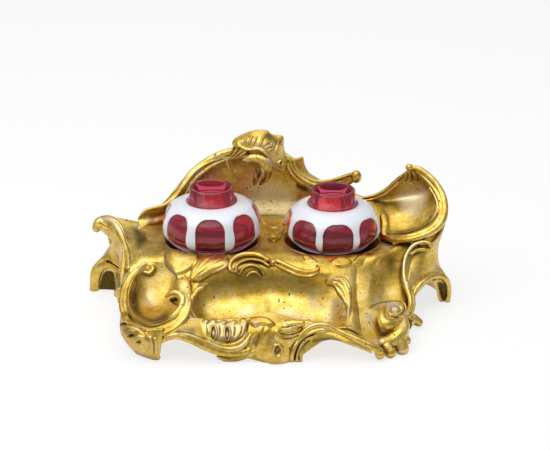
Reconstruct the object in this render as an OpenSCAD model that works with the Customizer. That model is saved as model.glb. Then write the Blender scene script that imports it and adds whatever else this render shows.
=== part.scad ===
/* [Wells] */
// Widest diameter of the left glass well
left_well_d = 73; // [66:0.5:80]
// Widest diameter of the right glass well
right_well_d = 70; // [64:0.5:78]
// Height of the left well from its base to the rim of its neck
left_well_h = 45; // [40:0.5:52]
// Height of the right well from its base to the rim of its neck
right_well_h = 43; // [38:0.5:50]
// Height of the neck above the shoulder
neck_h = 10.6; // [8:0.2:13]
// Outside diameter of the neck
neck_d = 32; // [28:0.5:36]
// Bore of the neck
neck_bore = 26.4; // [22:0.2:30]
// Glass wall of the ruby body
glass_wall = 3.2; // [2.4:0.1:4.5]
// Thickness of the white overlay on the ruby body
overlay_t = 1.2; // [0.8:0.1:2]
// Windows cut through the overlay of each well
windows = 8; // [6:1:10]
// Width of a window
window_w = 20; // [14:0.5:22]
// Height above the base at which a window starts
window_low = 7.5; // [5:0.5:10]
// How far a window ends below the shoulder
window_drop = 3.4; // [2:0.2:6]
// Turn of the right well about its axis
right_turn = 5; // [-20:1:20]

/* [Layout] */
// Free space between the two wells at their widest
well_gap = 15.5; // [12:0.5:24]
// Height of the deck that carries the wells
deck_h = 47; // [40:1:56]
// Height of the crest above the table
crest_h = 116; // [104:1:130]

/* [Castings] */
// Wall of the bronze castings
wall = 3; // [2.4:0.1:4]
// How far the deck hides the foot of a well
socket_depth = 5; // [3:0.5:8]
// Gap round the left well at the top of its socket
left_socket_gap = 4; // [2:0.5:8]
// Gap round the right well at the top of its socket
right_socket_gap = 6; // [2:0.5:8]
// Wall of the spun cups that line the sockets
cup_wall = 1.2; // [0.8:0.1:2]
// Width of the ledge by which a cup hangs under the deck
cup_ledge = 1.5; // [1:0.1:3]

/* [Fixings] */
// Diameter of the studs that hold the castings
stud_d = 3; // [2.5:0.1:4]
// Free space round a stud in its lug
stud_gap = 0.2; // [0.1:0.05:0.4]
// Thickness of the lugs under the deck
lug_t = 3; // [2.4:0.1:5]
// Width of a nut across its flats
nut_w = 6; // [5:0.1:8]
// Thickness of a nut
nut_t = 2.6; // [2:0.1:4]

/* [Hidden] */
$fn = 96;

// Deck height, crest height and well pitch at which the net of the stand is drawn
net_deck = 47;
net_crest = 116;
net_pitch = 87;

well_pitch = (left_well_d + right_well_d) / 2 + well_gap;
plan_k = well_pitch / net_pitch;
low_k = deck_h / net_deck;
high_k = (crest_h - deck_h) / (net_crest - net_deck);

// A point of the net at the stand's real size
function net(p) = [p.x * plan_k, p.y * plan_k,
    p.z <= net_deck ? p.z * low_k : deck_h + (p.z - net_deck) * high_k];
function nets(p) = [for (q = p) net(q)];
function nets2(g) = [for (row = g) nets(row)];

left_at = net([-40, 27, 0]);
right_at = left_at + [well_pitch, 0, 0];
seat_z = deck_h - socket_depth;

function unit(v) = v / norm(v);
function flipped(g) = [for (row = g) [for (j = [len(row) - 1 : -1 : 0]) row[j]]];
function turned(g) = [for (j = [0 : len(g[0]) - 1]) [for (row = g) row[j]]];

// A point between b and c on the smooth curve through a, b, c and d
function curve(a, b, c, d, t) =
    b + 0.5 * t * ((c - a) + t * ((2 * a - 5 * b + 4 * c - d) + t * (3 * b - a - 3 * c + d)));
function before(p, i) = i > 0 ? p[i - 1] : 2 * p[0] - p[1];
function after(p, i) = i < len(p) - 2 ? p[i + 2] : 2 * p[i + 1] - p[i];

// A smooth open line through p, with n steps from point to point
function line(p, n) = [
    for (i = [0 : len(p) - 2], k = [0 : n - 1]) curve(before(p, i), p[i], p[i + 1], after(p, i), k / n),
    p[len(p) - 1]];

// A smooth closed line through p
function ring(p, n) = let (m = len(p)) [
    for (i = [0 : m - 1], k = [0 : n - 1])
        curve(p[(i + m - 1) % m], p[i], p[(i + 1) % m], p[(i + 2) % m], k / n)];

// A smooth surface through the rows of a net, and one whose rows are closed
function spread(g, nu, nv) = turned([for (c = turned([for (row = g) line(row, nu)])) line(c, nv)]);
function spread_round(g, nu, nv) = turned([for (c = turned([for (row = g) ring(row, nu)])) line(c, nv)]);

// The way a surface faces at a point
function facing(g, i, j, shut) = let (
        m = len(g[0]), n = len(g),
        du = shut ? g[i][(j + 1) % m] - g[i][(j + m - 1) % m]
            : g[i][min(j + 1, m - 1)] - g[i][max(j - 1, 0)],
        dv = g[min(i + 1, n - 1)][j] - g[max(i - 1, 0)][j])
    unit(cross(du, dv));

function quad(a, b, c, d) = [[a, b, c], [a, c, d]];

// A sheet of metal: its face is the surface g, and its back lies t behind
module sheet(g, t) {
    m = len(g[0]);
    n = len(g);
    b = m * n;
    back = [for (i = [0 : n - 1]) [for (j = [0 : m - 1]) g[i][j] - t * facing(g, i, j, false)]];
    function at(i, j) = i * m + j;
    polyhedron([for (row = g) each row, for (row = back) each row], [
        for (i = [0 : n - 2], j = [0 : m - 2]) each [
            each quad(at(i, j), at(i + 1, j), at(i + 1, j + 1), at(i, j + 1)),
            each quad(b + at(i, j), b + at(i, j + 1), b + at(i + 1, j + 1), b + at(i + 1, j))],
        for (j = [0 : m - 2]) each [
            each quad(at(0, j), at(0, j + 1), b + at(0, j + 1), b + at(0, j)),
            each quad(at(n - 1, j), b + at(n - 1, j), b + at(n - 1, j + 1), at(n - 1, j + 1))],
        for (i = [0 : n - 2]) each [
            each quad(at(i, 0), b + at(i, 0), b + at(i + 1, 0), at(i + 1, 0)),
            each quad(at(i, m - 1), at(i + 1, m - 1), b + at(i + 1, m - 1), b + at(i, m - 1))]
        ], convexity = 8);
}

// A sheet whose rows are closed, from the rim to a last small ring that a fan of faces shuts
module basin(g, t) {
    m = len(g[0]);
    n = len(g);
    b = m * n;
    back = [for (i = [0 : n - 1]) [for (j = [0 : m - 1]) g[i][j] - t * facing(g, i, j, true)]];
    function at(i, j) = i * m + j % m;
    polyhedron([for (row = g) each row, for (row = back) each row], [
        for (i = [0 : n - 2], j = [0 : m - 1]) each [
            each quad(at(i, j), at(i + 1, j), at(i + 1, j + 1), at(i, j + 1)),
            each quad(b + at(i, j), b + at(i, j + 1), b + at(i + 1, j + 1), b + at(i + 1, j))],
        for (j = [0 : m - 1]) each quad(at(0, j), at(0, j + 1), b + at(0, j + 1), b + at(0, j)),
        for (j = [1 : m - 2]) each [
            [at(n - 1, 0), at(n - 1, j + 1), at(n - 1, j)],
            [b + at(n - 1, 0), b + at(n - 1, j), b + at(n - 1, j + 1)]]], convexity = 8);
}

// A moulding of oval section along the path p, whose half width w and half height h follow lists of values
module rib(p, w, h, up, n = 3, sides = 6) {
    c = line(p, n);
    m = len(c);
    ws = line(w, 6);
    hs = line(h, 6);
    function along(s, i) = let (f = i / (m - 1) * (len(s) - 1), k = min(floor(f), len(s) - 2))
        s[k] + (s[k + 1] - s[k]) * (f - k);
    rings = [for (i = [0 : m - 1]) let (
            t = unit(c[min(i + 1, m - 1)] - c[max(i - 1, 0)]),
            side = unit(cross(t, up)),
            top = cross(side, t))
        [for (k = [0 : sides - 1]) let (a = 360 * (k + 0.5) / sides)
            c[i] + side * along(ws, i) * cos(a) + top * along(hs, i) * sin(a)]];
    last = (m - 1) * sides;
    polyhedron([for (r = rings) each r], [
        for (i = [0 : m - 2], k = [0 : sides - 1]) let (a = i * sides + k, b = i * sides + (k + 1) % sides)
            each quad(a, b, b + sides, a + sides),
        for (k = [1 : sides - 2]) each [[0, k + 1, k], [last, last + k, last + k + 1]]], convexity = 8);
}

// A rounded lump with the half sizes s
module lump(at, s) {
    translate(at) scale(s) sphere(1, $fn = 12);
}

// One casting, joined into a single skin and cut off flat on the table
module casting() {
    resize([0, 0, 0]) difference() {
        children();
        translate([-200, -200, -60]) cube([400, 400, 60]);
    }
}

// Rings of a basin drawn in from its rim towards its floor point
function drawn_in(rim, c, s, d) =
    [for (p = rim) [c.x + (p.x - c.x) * s, c.y + (p.y - c.y) * s, c.z + (p.z - c.z) * d]];
function basin_net(rim, c) = nets2([rim, drawn_in(rim, c, 0.9, 0.6), drawn_in(rim, c, 0.62, 0.18),
    drawn_in(rim, c, 0.14, 0)]);

// Studs of the deck: where each stands, and the point of its casting that its lug grows from
STUDS = [
    [[4, 3], [4, -9, 44]],
    [[-80, -3], [-82, -15, 42]],
    [[-87, 22], [-98, 22, 45.5]],
    [[-6, 58], [-6, 68, 43]],
    [[-79, 48], [-83, 56, 43]],
    [[14, 60], [28, 67, 43]],
    [[85, 49], [94, 44, 46]],
    [[82, 2], [88, -3, 39]]];

module at_stud(i) {
    translate([STUDS[i][0].x * plan_k, STUDS[i][0].y * plan_k, deck_h - wall]) children();
}

lug_r = nut_w * 0.75;
stud_l = lug_t + nut_t + 1;
spot_t = nut_t + 3;
spot_r = nut_w * 0.65;

// The lug of a casting under the deck
module lug(i) {
    difference() {
        hull() {
            at_stud(i) translate([0, 0, -lug_t]) cylinder(r = lug_r, h = lug_t, $fn = 16);
            translate(net(STUDS[i][1])) cube([5, 3, 2.4], center = true);
        }
        deck_space();
    }
}

// Holes for the studs, with a face cut below each for its nut
module stud_space() {
    for (i = [0 : len(STUDS) - 1]) at_stud(i) {
        translate([0, 0, -lug_t - 1]) cylinder(d = stud_d + 2 * stud_gap, h = lug_t + 2, $fn = 16);
        translate([0, 0, -lug_t - spot_t]) cylinder(r = spot_r, h = spot_t, $fn = 16);
    }
}

// Outline of a well from its base to its shoulder, for its widest radius r and its shoulder height h
function well_outline(r, h) = let (k = h / 34.4) [
    [r - 13, 0], [r - 10, 1.8 * k], [r - 6.5, 4.8 * k], [r - 2.8, 8.6 * k], [r - 0.6, 12.2 * k],
    [r, 15.4 * k], [r - 0.4, 19.6 * k], [r - 1.7, 24 * k], [r - 4.2, 28.2 * k], [r - 8.4, 31.6 * k],
    [neck_d / 2 + 7, 33.5 * k], [neck_d / 2 + neck_ledge, h]];
neck_ledge = 2.3;

// The outline t further in
function inset(p, t) = [for (i = [0 : len(p) - 1]) let (
        d = unit(p[min(i + 1, len(p) - 1)] - p[max(i - 1, 0)]))
    [p[i].x - t * d.y, i == 0 ? p[i].y : p[i].y + t * d.x]];

// The ruby glass body: a hollow vessel under a short neck that rises from a small ledge
module ruby_body(r, well_h) {
    h = well_h - neck_h;
    outer = line(well_outline(r, h), 3);
    skin = [for (q = inset(outer, overlay_t)) if (q.x > neck_d / 2 + neck_ledge) q];
    hollow = [for (q = inset(outer, overlay_t + glass_wall))
        if (q.x > neck_bore / 2 + 1 && q.y > glass_wall + 1.5) q];
    rotate_extrude() polygon([
        [0, 0], each skin, [neck_d / 2 + neck_ledge, h - overlay_t], [neck_d / 2 + neck_ledge, h + 0.6],
        [neck_d / 2 + 1.6, h + 1.4], [neck_d / 2, h + 1.8], [neck_d / 2, well_h - 0.8],
        [neck_d / 2 - 0.8, well_h],
        [neck_bore / 2 + 0.8, well_h], [neck_bore / 2, well_h - 0.8], [neck_bore / 2, h - glass_wall],
        each [for (i = [len(hollow) - 1 : -1 : 0]) hollow[i]], [hollow[0].x - 1.5, glass_wall],
        [0, glass_wall]]);
}

// The white overlay: a skin on the ruby body with the windows cut through it
module overlay_skin(r, well_h) {
    h = well_h - neck_h;
    outer = line(well_outline(r, h), 3);
    inner = [for (q = inset(outer, overlay_t)) if (q.x > neck_d / 2 + neck_ledge) q];
    difference() {
        rotate_extrude() polygon([each outer, [neck_d / 2 + neck_ledge, h - overlay_t],
            each [for (i = [len(inner) - 1 : -1 : 0]) inner[i]]]);
        for (k = [0 : windows - 1]) rotate([0, 0, 270 + k * 360 / windows]) window(h);
    }
}

// A window: straight sides under a round arch, pushed through the overlay from the side
module window(h) {
    corner = window_w * 0.42;
    top = h - window_drop;
    rotate([90, 0, 90]) linear_extrude(60) union() {
        translate([-window_w / 2, window_low]) square([window_w, top - corner - window_low]);
        translate([corner - window_w / 2, window_low]) square([window_w - 2 * corner, top - window_low]);
        for (s = [-1, 1]) translate([s * (window_w / 2 - corner), top - corner]) circle(corner);
    }
}

module left_well_ruby() {
    color("crimson") translate([left_at.x, left_at.y, seat_z]) ruby_body(left_well_d / 2, left_well_h);
}

module left_well_overlay() {
    color("white") translate([left_at.x, left_at.y, seat_z]) overlay_skin(left_well_d / 2, left_well_h);
}

module right_well_ruby() {
    color("crimson") translate([right_at.x, right_at.y, seat_z]) rotate([0, 0, right_turn])
        ruby_body(right_well_d / 2, right_well_h);
}

module right_well_overlay() {
    color("white") translate([right_at.x, right_at.y, seat_z]) rotate([0, 0, right_turn])
        overlay_skin(right_well_d / 2, right_well_h);
}

// Radius of a well where the deck's top hides it
function hidden_r(d, h) = lookup(socket_depth, [for (q = well_outline(d / 2, h - neck_h)) [q.y, q.x]]);
left_socket_r = hidden_r(left_well_d, left_well_h) + left_socket_gap + cup_wall;
right_socket_r = hidden_r(right_well_d, right_well_h) + right_socket_gap + cup_wall;

DECK_EDGE = [[-90, -10], [-62, -13], [-40, -13], [-15, -10], [5, -6], [25, -10], [47, -13], [66, -13],
    [82, -5], [90, 9], [89, 28], [89, 50], [78, 62], [56, 66], [24, 67], [-20, 68], [-44, 67], [-66, 63],
    [-84, 53], [-97, 39], [-97, 10]];

module deck_plate() {
    translate([0, 0, deck_h - wall]) linear_extrude(wall)
        polygon(ring([for (p = DECK_EDGE) p * plan_k], 3));
}

module deck() {
    color("goldenrod") {
        difference() {
            deck_plate();
            for (s = [[left_at, left_socket_r], [right_at, right_socket_r]])
                translate([s[0].x, s[0].y, deck_h - wall - 1]) cylinder(r = s[1], h = wall + 2);
        }
        for (i = [0 : len(STUDS) - 1]) at_stud(i)
            translate([0, 0, -stud_l]) cylinder(d = stud_d, h = stud_l, $fn = 32);
    }
}

// What the castings leave free: the deck with its studs and nuts, the cups and the space of the two wells
module deck_space() {
    deck_plate();
    stud_space();
    for (w = [[left_at, left_well_d, left_socket_r], [right_at, right_well_d, right_socket_r]])
        translate([w[0].x, w[0].y, 0]) {
            translate([0, 0, seat_z - cup_wall - 0.3])
                cylinder(r = w[2] + cup_ledge + 0.3, h = socket_depth, $fn = 48);
            translate([0, 0, deck_h - 2]) cylinder(r = w[1] / 2 + 0.8, h = left_well_h, $fn = 48);
        }
}

module cup(at, r) {
    translate([at.x, at.y, seat_z]) rotate_extrude() polygon([
        [0, -cup_wall], [r, -cup_wall], [r, socket_depth - wall - cup_wall],
        [r + cup_ledge, socket_depth - wall - cup_wall], [r + cup_ledge, socket_depth - wall],
        [r, socket_depth - wall], [r, socket_depth], [r - cup_wall, socket_depth], [r - cup_wall, 0],
        [0, 0]]);
}

module left_cup() {
    color("peru") cup(left_at, left_socket_r);
}

module right_cup() {
    color("peru") cup(right_at, right_socket_r);
}

module nut(h) {
    difference() {
        cylinder(d = nut_w / cos(30), h = h, $fn = 6);
        translate([0, 0, -1]) cylinder(d = stud_d + 0.1, h = h + 2, $fn = 32);
    }
}

module deck_nuts() {
    color("silver") for (i = [0 : len(STUDS) - 1]) at_stud(i) translate([0, 0, -lug_t - nut_t]) nut(nut_t);
}

BACK_SHELL = [
    [[-94, 41, 39], [-84, 52, 39], [-66, 62, 39], [-44, 66, 39], [-20, 67, 39], [4, 67, 39],
     [24, 66, 39]],
    [[-94, 41, 47], [-84, 52, 47], [-66, 62, 47], [-44, 66, 47], [-20, 67, 47], [4, 67, 47],
     [24, 66, 47]],
    [[-92, 48, 50], [-80, 58, 51], [-63, 68, 57], [-43, 73, 60], [-20, 74, 61], [4, 74, 61],
     [24, 72, 59]],
    [[-91, 51, 54], [-77, 60, 57], [-59, 71, 71], [-40, 76, 79], [-19, 77, 82], [5, 76, 80],
     [23, 74, 74]],
    [[-89, 52, 58], [-72, 60, 62], [-55, 67, 84], [-37, 72, 95], [-18, 74, 99], [5, 73, 97],
     [20, 71, 90]]];

module raw_back_shell() {
    sheet(spread(nets2(BACK_SHELL), 3, 2), wall);
    rib(nets([for (p = BACK_SHELL[4]) p + [0, 0.4, 0.6]]), [2.4, 2.6, 3, 3, 2.4], [2, 2.2, 2.6, 2.6, 2.2],
        [0, -1, 0.2]);
    at_crest_studs() translate([0, 0, -4]) cylinder(r = lug_r, h = 4, $fn = 16);
    lug(3);
    lug(4);
}

module back_shell() {
    color("goldenrod") casting() difference() {
        raw_back_shell();
        deck_space();
        raw_left_wing();
        at_crest_studs() translate([0, 0, -12]) cylinder(d = stud_d + 2 * stud_gap, h = 20, $fn = 16);
    }
}

BACK_RAIL = [
    [[24, 66, 39], [40, 65, 39], [56, 64, 39], [76, 60, 39]],
    [[24, 66, 47], [40, 65, 47], [56, 64, 47], [76, 60, 47]],
    [[24, 72, 59], [40, 71, 55], [56, 70, 54], [76, 66, 52]],
    [[23, 74, 74], [40, 72, 65], [55, 71, 62], [76, 66, 58]],
    [[20, 71, 90], [38, 69, 76], [54, 68, 69], [75, 62, 66]]];
RAIL_HORN = [[18, 72.6, 92.4], [20, 69, 88], [25, 68, 82], [34, 68, 76], [46, 68, 75], [57, 68, 77],
    [66, 68, 80]];

module raw_back_rail() {
    sheet(spread(nets2(BACK_RAIL), 3, 2), wall);
    rib(nets(RAIL_HORN), [3, 4, 4.6, 4.6, 4.4, 4.2, 3], [3, 5, 6, 6, 5.4, 4.6, 2.8], [0, -0.3, 1]);
    lug(5);
}

module back_rail() {
    color("goldenrod") casting() difference() {
        raw_back_rail();
        deck_space();
        raw_back_shell();
        raw_right_bowl();
    }
}

// Plume of the crest, from its lower border to its ragged top edge
CREST_PLUME = [
    [[-27, 68, 99], [-17, 64, 101], [-7, 61, 102], [0, 60, 98], [6, 61, 89], [13, 64, 79]],
    [[-28, 70, 103], [-18, 67, 106], [-7, 64, 108], [3, 63, 105], [9, 65, 97], [16, 67, 86]],
    [[-26, 72, 107], [-17, 73, 112], [-6, 73, 115], [4, 73, 112], [12, 72, 106], [17, 70, 92]]];
CREST_HOOK = [[-28, 69, 92], [-20, 64, 97], [-11, 61, 101], [-3, 59, 100], [2, 58, 94], [2, 59, 86],
    [-3, 63, 79]];
CREST_STUDS = [[-15, 80, 95], [8, 80, 88]];

module at_crest_studs() {
    for (p = CREST_STUDS) translate(net(p)) rotate([-90, 0, 0]) children();
}

module crest() {
    color("gold") casting() difference() {
        union() {
            sheet(spread(nets2(CREST_PLUME), 3, 3), wall + 1);
            rib(nets(CREST_HOOK), [2, 4, 4.5, 4, 3.4, 2.6, 1.4], [2, 3, 3.2, 3, 2.6, 2, 1.2], [0, -1, 0.4]);
            at_crest_studs() translate([0, 0, -17]) cylinder(d = stud_d, h = 17 + nut_t + 1, $fn = 16);
        }
        difference() {
            union() {
                raw_back_shell();
                raw_back_rail();
            }
            at_crest_studs() translate([0, 0, -20]) cylinder(d = stud_d + 2 * stud_gap, h = 30, $fn = 16);
        }
    }
}

module crest_nuts() {
    color("silver") at_crest_studs() nut(nut_t);
}

BOWL_RIM = [[85, 28, 48], [93, 17, 49], [110, 10, 51], [124, 17, 58], [129, 31, 71], [119, 46, 88],
    [103, 52, 95], [93, 58, 80], [77, 60, 67], [81, 48, 51]];
BOWL_FLOOR = [101, 34, 44];

module raw_right_bowl() {
    basin(spread_round(basin_net(BOWL_RIM, BOWL_FLOOR), 3, 2), wall);
    rib(nets([for (i = [0 : 6]) BOWL_RIM[i] + [0, 0, -0.6]]), [2.2, 2.6, 3, 3.2, 3, 2.8, 2.6],
        [2, 2.4, 2.6, 2.8, 2.8, 2.6, 3], [0.3, -0.6, 1]);
    lug(6);
}

module right_bowl() {
    color("gold") casting() difference() {
        raw_right_bowl();
        deck_space();
    }
}

RIGHT_SKIRT = [
    [[106, 12, 46], [116, 8, 48], [125, 17, 51], [128, 32, 52], [119, 47, 54]],
    [[102, 4, 37], [113, 6, 39], [121, 15, 42], [123, 32, 42], [116, 47, 42]],
    [[100, -5, 28], [112, 3, 30], [122, 13, 32], [124, 31, 25], [117, 49, 22]],
    [[101, -11, 21], [114, 3, 25], [126, 13, 25], [130, 25, 12], [121, 52, 10]],
    [[103, -14, 17], [116, 3, 22], [128, 14, 20], [132, 22, -1], [123, 54, -1]]];
RIGHT_ARCH = [[103, -13, 17], [108, -5, 20], [115, 3, 23], [122, 10, 24], [128, 15, 19], [131, 19, 9],
    [130, 20, -1]];

module raw_right_skirt() {
    sheet(flipped(spread(nets2(RIGHT_SKIRT), 3, 2)), wall);
    rib(nets(RIGHT_ARCH), [2, 2.6, 3, 3, 3, 3.4, 4], [2, 2.4, 2.6, 2.6, 2.6, 3, 3.4], [0.5, -1, 0.6], 2);
    rib(nets([[104, -11, 17], [105, -18, 9], [106, -25, 2]]), [2.4, 2.8, 4, 3], [2.4, 2.8, 3.6, 3],
        [0, -1, 0.3]);
}

module right_skirt() {
    color("darkgoldenrod") casting() difference() {
        raw_right_skirt();
        raw_right_bowl();
        raw_right_cove();
    }
}

RIGHT_COVE = [
    [[63, -11, 45], [79, -5, 46.4], [90, 6, 46.4], [99, 12, 48], [107, 13, 46]],
    [[55, -22, 38], [71, -16, 37], [84, -6, 36], [94, 0, 37], [101, 5, 37]],
    [[56, -36, 28], [71, -31, 26], [84, -22, 24], [93, -13, 25], [99, -6, 26]],
    [[56, -50, 22], [71, -48, 18], [84, -42, 16], [94, -32, 16], [102, -18, 15]],
    [[55, -66, 18], [70, -70, 11], [84, -67, 8], [95, -58, 8], [103, -40, 8]]];

module raw_right_cove() {
    sheet(flipped(spread(nets2(RIGHT_COVE), 3, 2)), wall);
    lug(7);
}

module right_cove() {
    color("khaki") casting() difference() {
        raw_right_cove();
        deck_space();
        raw_pen_trough();
        raw_right_bowl();
    }
}

SCROLL = [[114, 7, 49], [109, 9, 49], [103, 8, 47], [98, 5, 42], [96, -3, 35], [98, -10, 27],
    [101, -16, 19], [102, -23, 15], [99, -34, 14], [93, -43, 15], [85, -43, 17], [82, -35, 20],
    [87, -27, 22], [94, -26, 20], [94, -32, 18], [90, -35, 18]];

module right_scroll() {
    color("gold") casting() difference() {
        rib(nets(SCROLL), [1.6, 2.6, 2.6, 2.6, 2.8, 3, 3, 3, 2.8, 2.6, 2.4, 2.2, 2, 1.6],
            [1.6, 2.4, 2.4, 2.4, 2.6, 2.8, 2.8, 2.8, 2.6, 2.6, 2.4, 2.2, 2, 1.6], [-0.2, -0.8, 1]);
        raw_right_cove();
        raw_right_skirt();
        raw_right_bowl();
    }
}

// Toes of the right front foot: where each lies and its half sizes
RIGHT_TOES = [
    [[84, -61, 8], [13, 10, 5]],
    [[75, -73, 3], [5, 5, 5]],
    [[84, -70, 4], [7, 6, 6]],
    [[93, -65, 6], [6, 6, 5]],
    [[98, -58, 8], [5, 6, 4]]];

module right_front_foot() {
    color("darkgoldenrod") casting() difference() {
        union() for (t = RIGHT_TOES) lump(net(t[0]), t[1]);
        raw_right_cove();
        raw_front_apron();
    }
}

LEFT_WING = [
    [[-125, 49, 56], [-113, 51, 53], [-101, 53, 49.5], [-88, 53, 55]],
    [[-122, 42, 54], [-110, 42, 50], [-102, 41, 48], [-93, 38, 46]],
    [[-106, 26, 50], [-102, 26, 48], [-98, 25, 46.5], [-93, 24, 46]],
    [[-99, 4, 45], [-96, 4, 45.5], [-94, 4, 46], [-91, 4, 46]],
    [[-97, -12, 40], [-94, -11, 42], [-90, -11, 44], [-85, -10, 45]]];
LEFT_RIDGE = [[-127, 42, 53], [-124, 47, 56], [-118, 44, 56], [-110, 34, 52], [-104, 24, 50],
    [-100, 10, 47], [-98, -4, 43], [-99, -14, 40]];

module raw_left_wing() {
    sheet(flipped(spread(nets2(LEFT_WING), 3, 2)), wall);
    rib(nets(LEFT_RIDGE), [2.6, 3, 3, 2.6, 2.4, 2.4, 2.2, 2], [3, 3.4, 3.2, 2.8, 2.6, 2.4, 2.2, 2],
        [0.4, -0.6, 1]);
    lug(2);
}

module left_wing() {
    color("khaki") casting() difference() {
        raw_left_wing();
        deck_space();
        raw_left_dish();
    }
}

LEFT_SKIRT = [
    [[-126, 44, 53], [-112, 34, 51], [-103, 20, 48], [-100, 0, 42], [-103, -28, 31]],
    [[-115, 43, 39], [-110, 32, 40], [-105, 18, 38], [-102, -2, 33], [-104, -28, 24]],
    [[-120, 42, 25], [-114, 33, 31], [-107, 20, 31], [-104, -3, 26], [-105, -28, 17]],
    [[-130, 41, 12], [-119, 35, 26], [-109, 23, 28], [-104.5, -2, 22], [-105, -27, 13]],
    [[-131, 41, -1], [-121, 35, 23], [-110, 24, 26], [-105, -1, 19], [-106, -26, 9]]];
LEFT_ARCH = [[-131, 40, -1], [-131, 40, 8], [-128, 38, 17], [-121, 35, 24], [-111, 27, 27],
    [-106, 16, 25], [-104, 2, 20]];
// Web that closes the arch at the back
LEFT_WEB = [
    [[-130, 41, -1], [-119, 40, -1], [-108, 38, -1]],
    [[-127, 40, 14], [-118, 39, 14], [-107, 38, 14]],
    [[-116, 38, 30], [-112, 37, 30], [-105, 36, 30]]];

module raw_left_skirt() {
    sheet(spread(nets2(LEFT_SKIRT), 3, 2), wall);
    sheet(spread(nets2(LEFT_WEB), 2, 2), wall);
    rib(nets(LEFT_ARCH), [4, 3.4, 3, 3, 3, 2.6, 2], [3.4, 3, 2.8, 2.6, 2.6, 2.4, 2], [-0.5, -1, 0.6], 2);
    rib(nets([[-105, 3, 20], [-108, 9, 9], [-110, 14, 2]]), [2.4, 2.8, 4, 3], [2.4, 2.8, 3.6, 3],
        [0, -1, 0.3]);
}

module left_skirt() {
    color("darkgoldenrod") casting() difference() {
        raw_left_skirt();
        raw_left_wing();
        raw_left_dish();
    }
}

DISH_RIM = [[-85, -9, 45], [-97, -18, 39], [-102, -38, 30], [-97, -59, 24], [-80, -71, 22],
    [-64, -69, 27], [-53, -58, 31], [-52, -40, 33], [-55, -24, 40], [-66, -11, 45]];
DISH_FLOOR = [-78, -38, 17];
DISH_MOULDING = [[-82, -14, 42], [-88, -13, 42], [-96, -18, 38], [-101, -38, 30], [-96, -58, 24],
    [-80, -70, 22], [-64, -68, 27], [-56, -57, 32], [-58, -46, 34], [-66, -44, 30], [-71, -47, 25]];

module raw_left_dish() {
    basin(flipped(spread_round(basin_net(DISH_RIM, DISH_FLOOR), 3, 2)), wall);
    rib(nets(DISH_MOULDING), [1.4, 2.2, 2.6, 2.8, 3, 3, 2.8, 2.6, 2.2, 1.4],
        [1.4, 2.2, 2.4, 2.6, 2.8, 2.8, 2.6, 2.4, 2.2, 1.4],
        [0, -0.3, 1]);
    lug(1);
}

module left_dish() {
    color("gold") casting() difference() {
        raw_left_dish();
        deck_space();
        raw_pen_trough();
    }
}

LEFT_FOOT = [
    [[-104, -50, 27], [-98, -65, 25], [-84, -75, 23], [-69, -76, 24]],
    [[-102, -55, 16], [-94, -70, 16], [-81, -79, 16], [-70, -77, 17]],
    [[-95, -61, 8], [-87, -72, 7], [-78, -78, 7], [-71, -76, 9]],
    [[-84, -67, -2], [-81, -71, -2], [-76, -74, -2], [-73, -75, -1]]];

module left_front_foot() {
    color("darkgoldenrod") casting() difference() {
        sheet(flipped(spread(nets2(LEFT_FOOT), 3, 3)), wall + 2);
        raw_left_dish();
        raw_front_apron();
    }
}

PEN_TROUGH = [
    [[-62, -11, 46], [-40, -11, 46.4], [-15, -8, 46.4], [5, -4, 46.4], [25, -8, 46.4], [47, -11, 46.4],
     [62, -10, 46.4]],
    [[-56, -24, 40], [-40, -25, 41], [-18, -20, 42], [5, -17, 42], [25, -20, 41], [42, -25, 40],
     [56, -22, 39]],
    [[-52, -38, 31], [-38, -36, 27], [-17, -33, 27], [5, -32, 27], [25, -33, 26], [42, -35, 25],
     [57, -36, 29]],
    [[-50, -50, 28], [-37, -47, 20], [-17, -45, 19], [4, -45, 19], [25, -46, 18], [43, -49, 17.5],
     [57, -50, 23]],
    [[-50, -62, 27], [-38, -62, 24.5], [-18, -60, 24.5], [3, -60, 25.5], [25, -62, 24], [42, -66, 21],
     [56, -66, 19]]];

module raw_pen_trough() {
    sheet(flipped(spread(nets2(PEN_TROUGH), 3, 2)), wall);
    lug(0);
}

module pen_trough() {
    color("gold") casting() difference() {
        raw_pen_trough();
        deck_space();
    }
}

TROUGH_SCROLL = [[-26, -24, 42], [-24, -17, 45], [-18, -9, 48], [-9, -5, 49], [1, -8, 48], [6, -13, 46],
    [16, -17, 44], [28, -21, 43], [37, -19, 45]];

module trough_scroll() {
    color("gold") casting() difference() {
        union() {
            rib(nets(TROUGH_SCROLL), [2, 2.8, 3, 3, 2.6, 2.8, 2.8, 2.6, 1.6],
                [2, 2.6, 2.8, 2.8, 2.4, 2.6, 2.6, 2.4, 1.6],
                [0, -0.4, 1]);
            lump(net([5, -12, 47]), [3.4, 3.4, 3]);
        }
        raw_pen_trough();
        deck_space();
    }
}

FRONT_APRON = [
    [[-68, -72, 23], [-52, -63, 25], [-38, -61, 23], [-18, -59, 23], [3, -59, 24], [25, -61, 22],
     [42, -65, 19], [56, -66, 17], [70, -70, 10]],
    [[-66, -75, 20], [-52, -74, 22], [-38, -73, 17], [-20, -73, 13], [4, -73, 16], [25, -72, 17],
     [39, -72, 19], [55, -74, 15], [70, -75, 8]],
    [[-64, -76, 17], [-52, -77, 17], [-38, -78, 10], [-20, -78, 3], [5, -79, -1], [20, -77, 2],
     [39, -75, 16], [55, -77, 13], [71, -76, 3]]];
S_RIM = [[-70, -74, 14], [-65, -75, 19], [-58, -76, 21], [-45, -78, 15], [-33, -78, 9], [-23, -78, 6],
    [-15, -77, 8], [-8, -75, 13], [-3, -70, 19], [2, -64, 25]];
FRONT_SCROLL = [[20, -77, -1], [22, -76, 9], [29, -73, 17], [38, -70, 21], [47, -71, 20], [56, -74, 17],
    [66, -75, 10], [75, -75, 3]];

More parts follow.
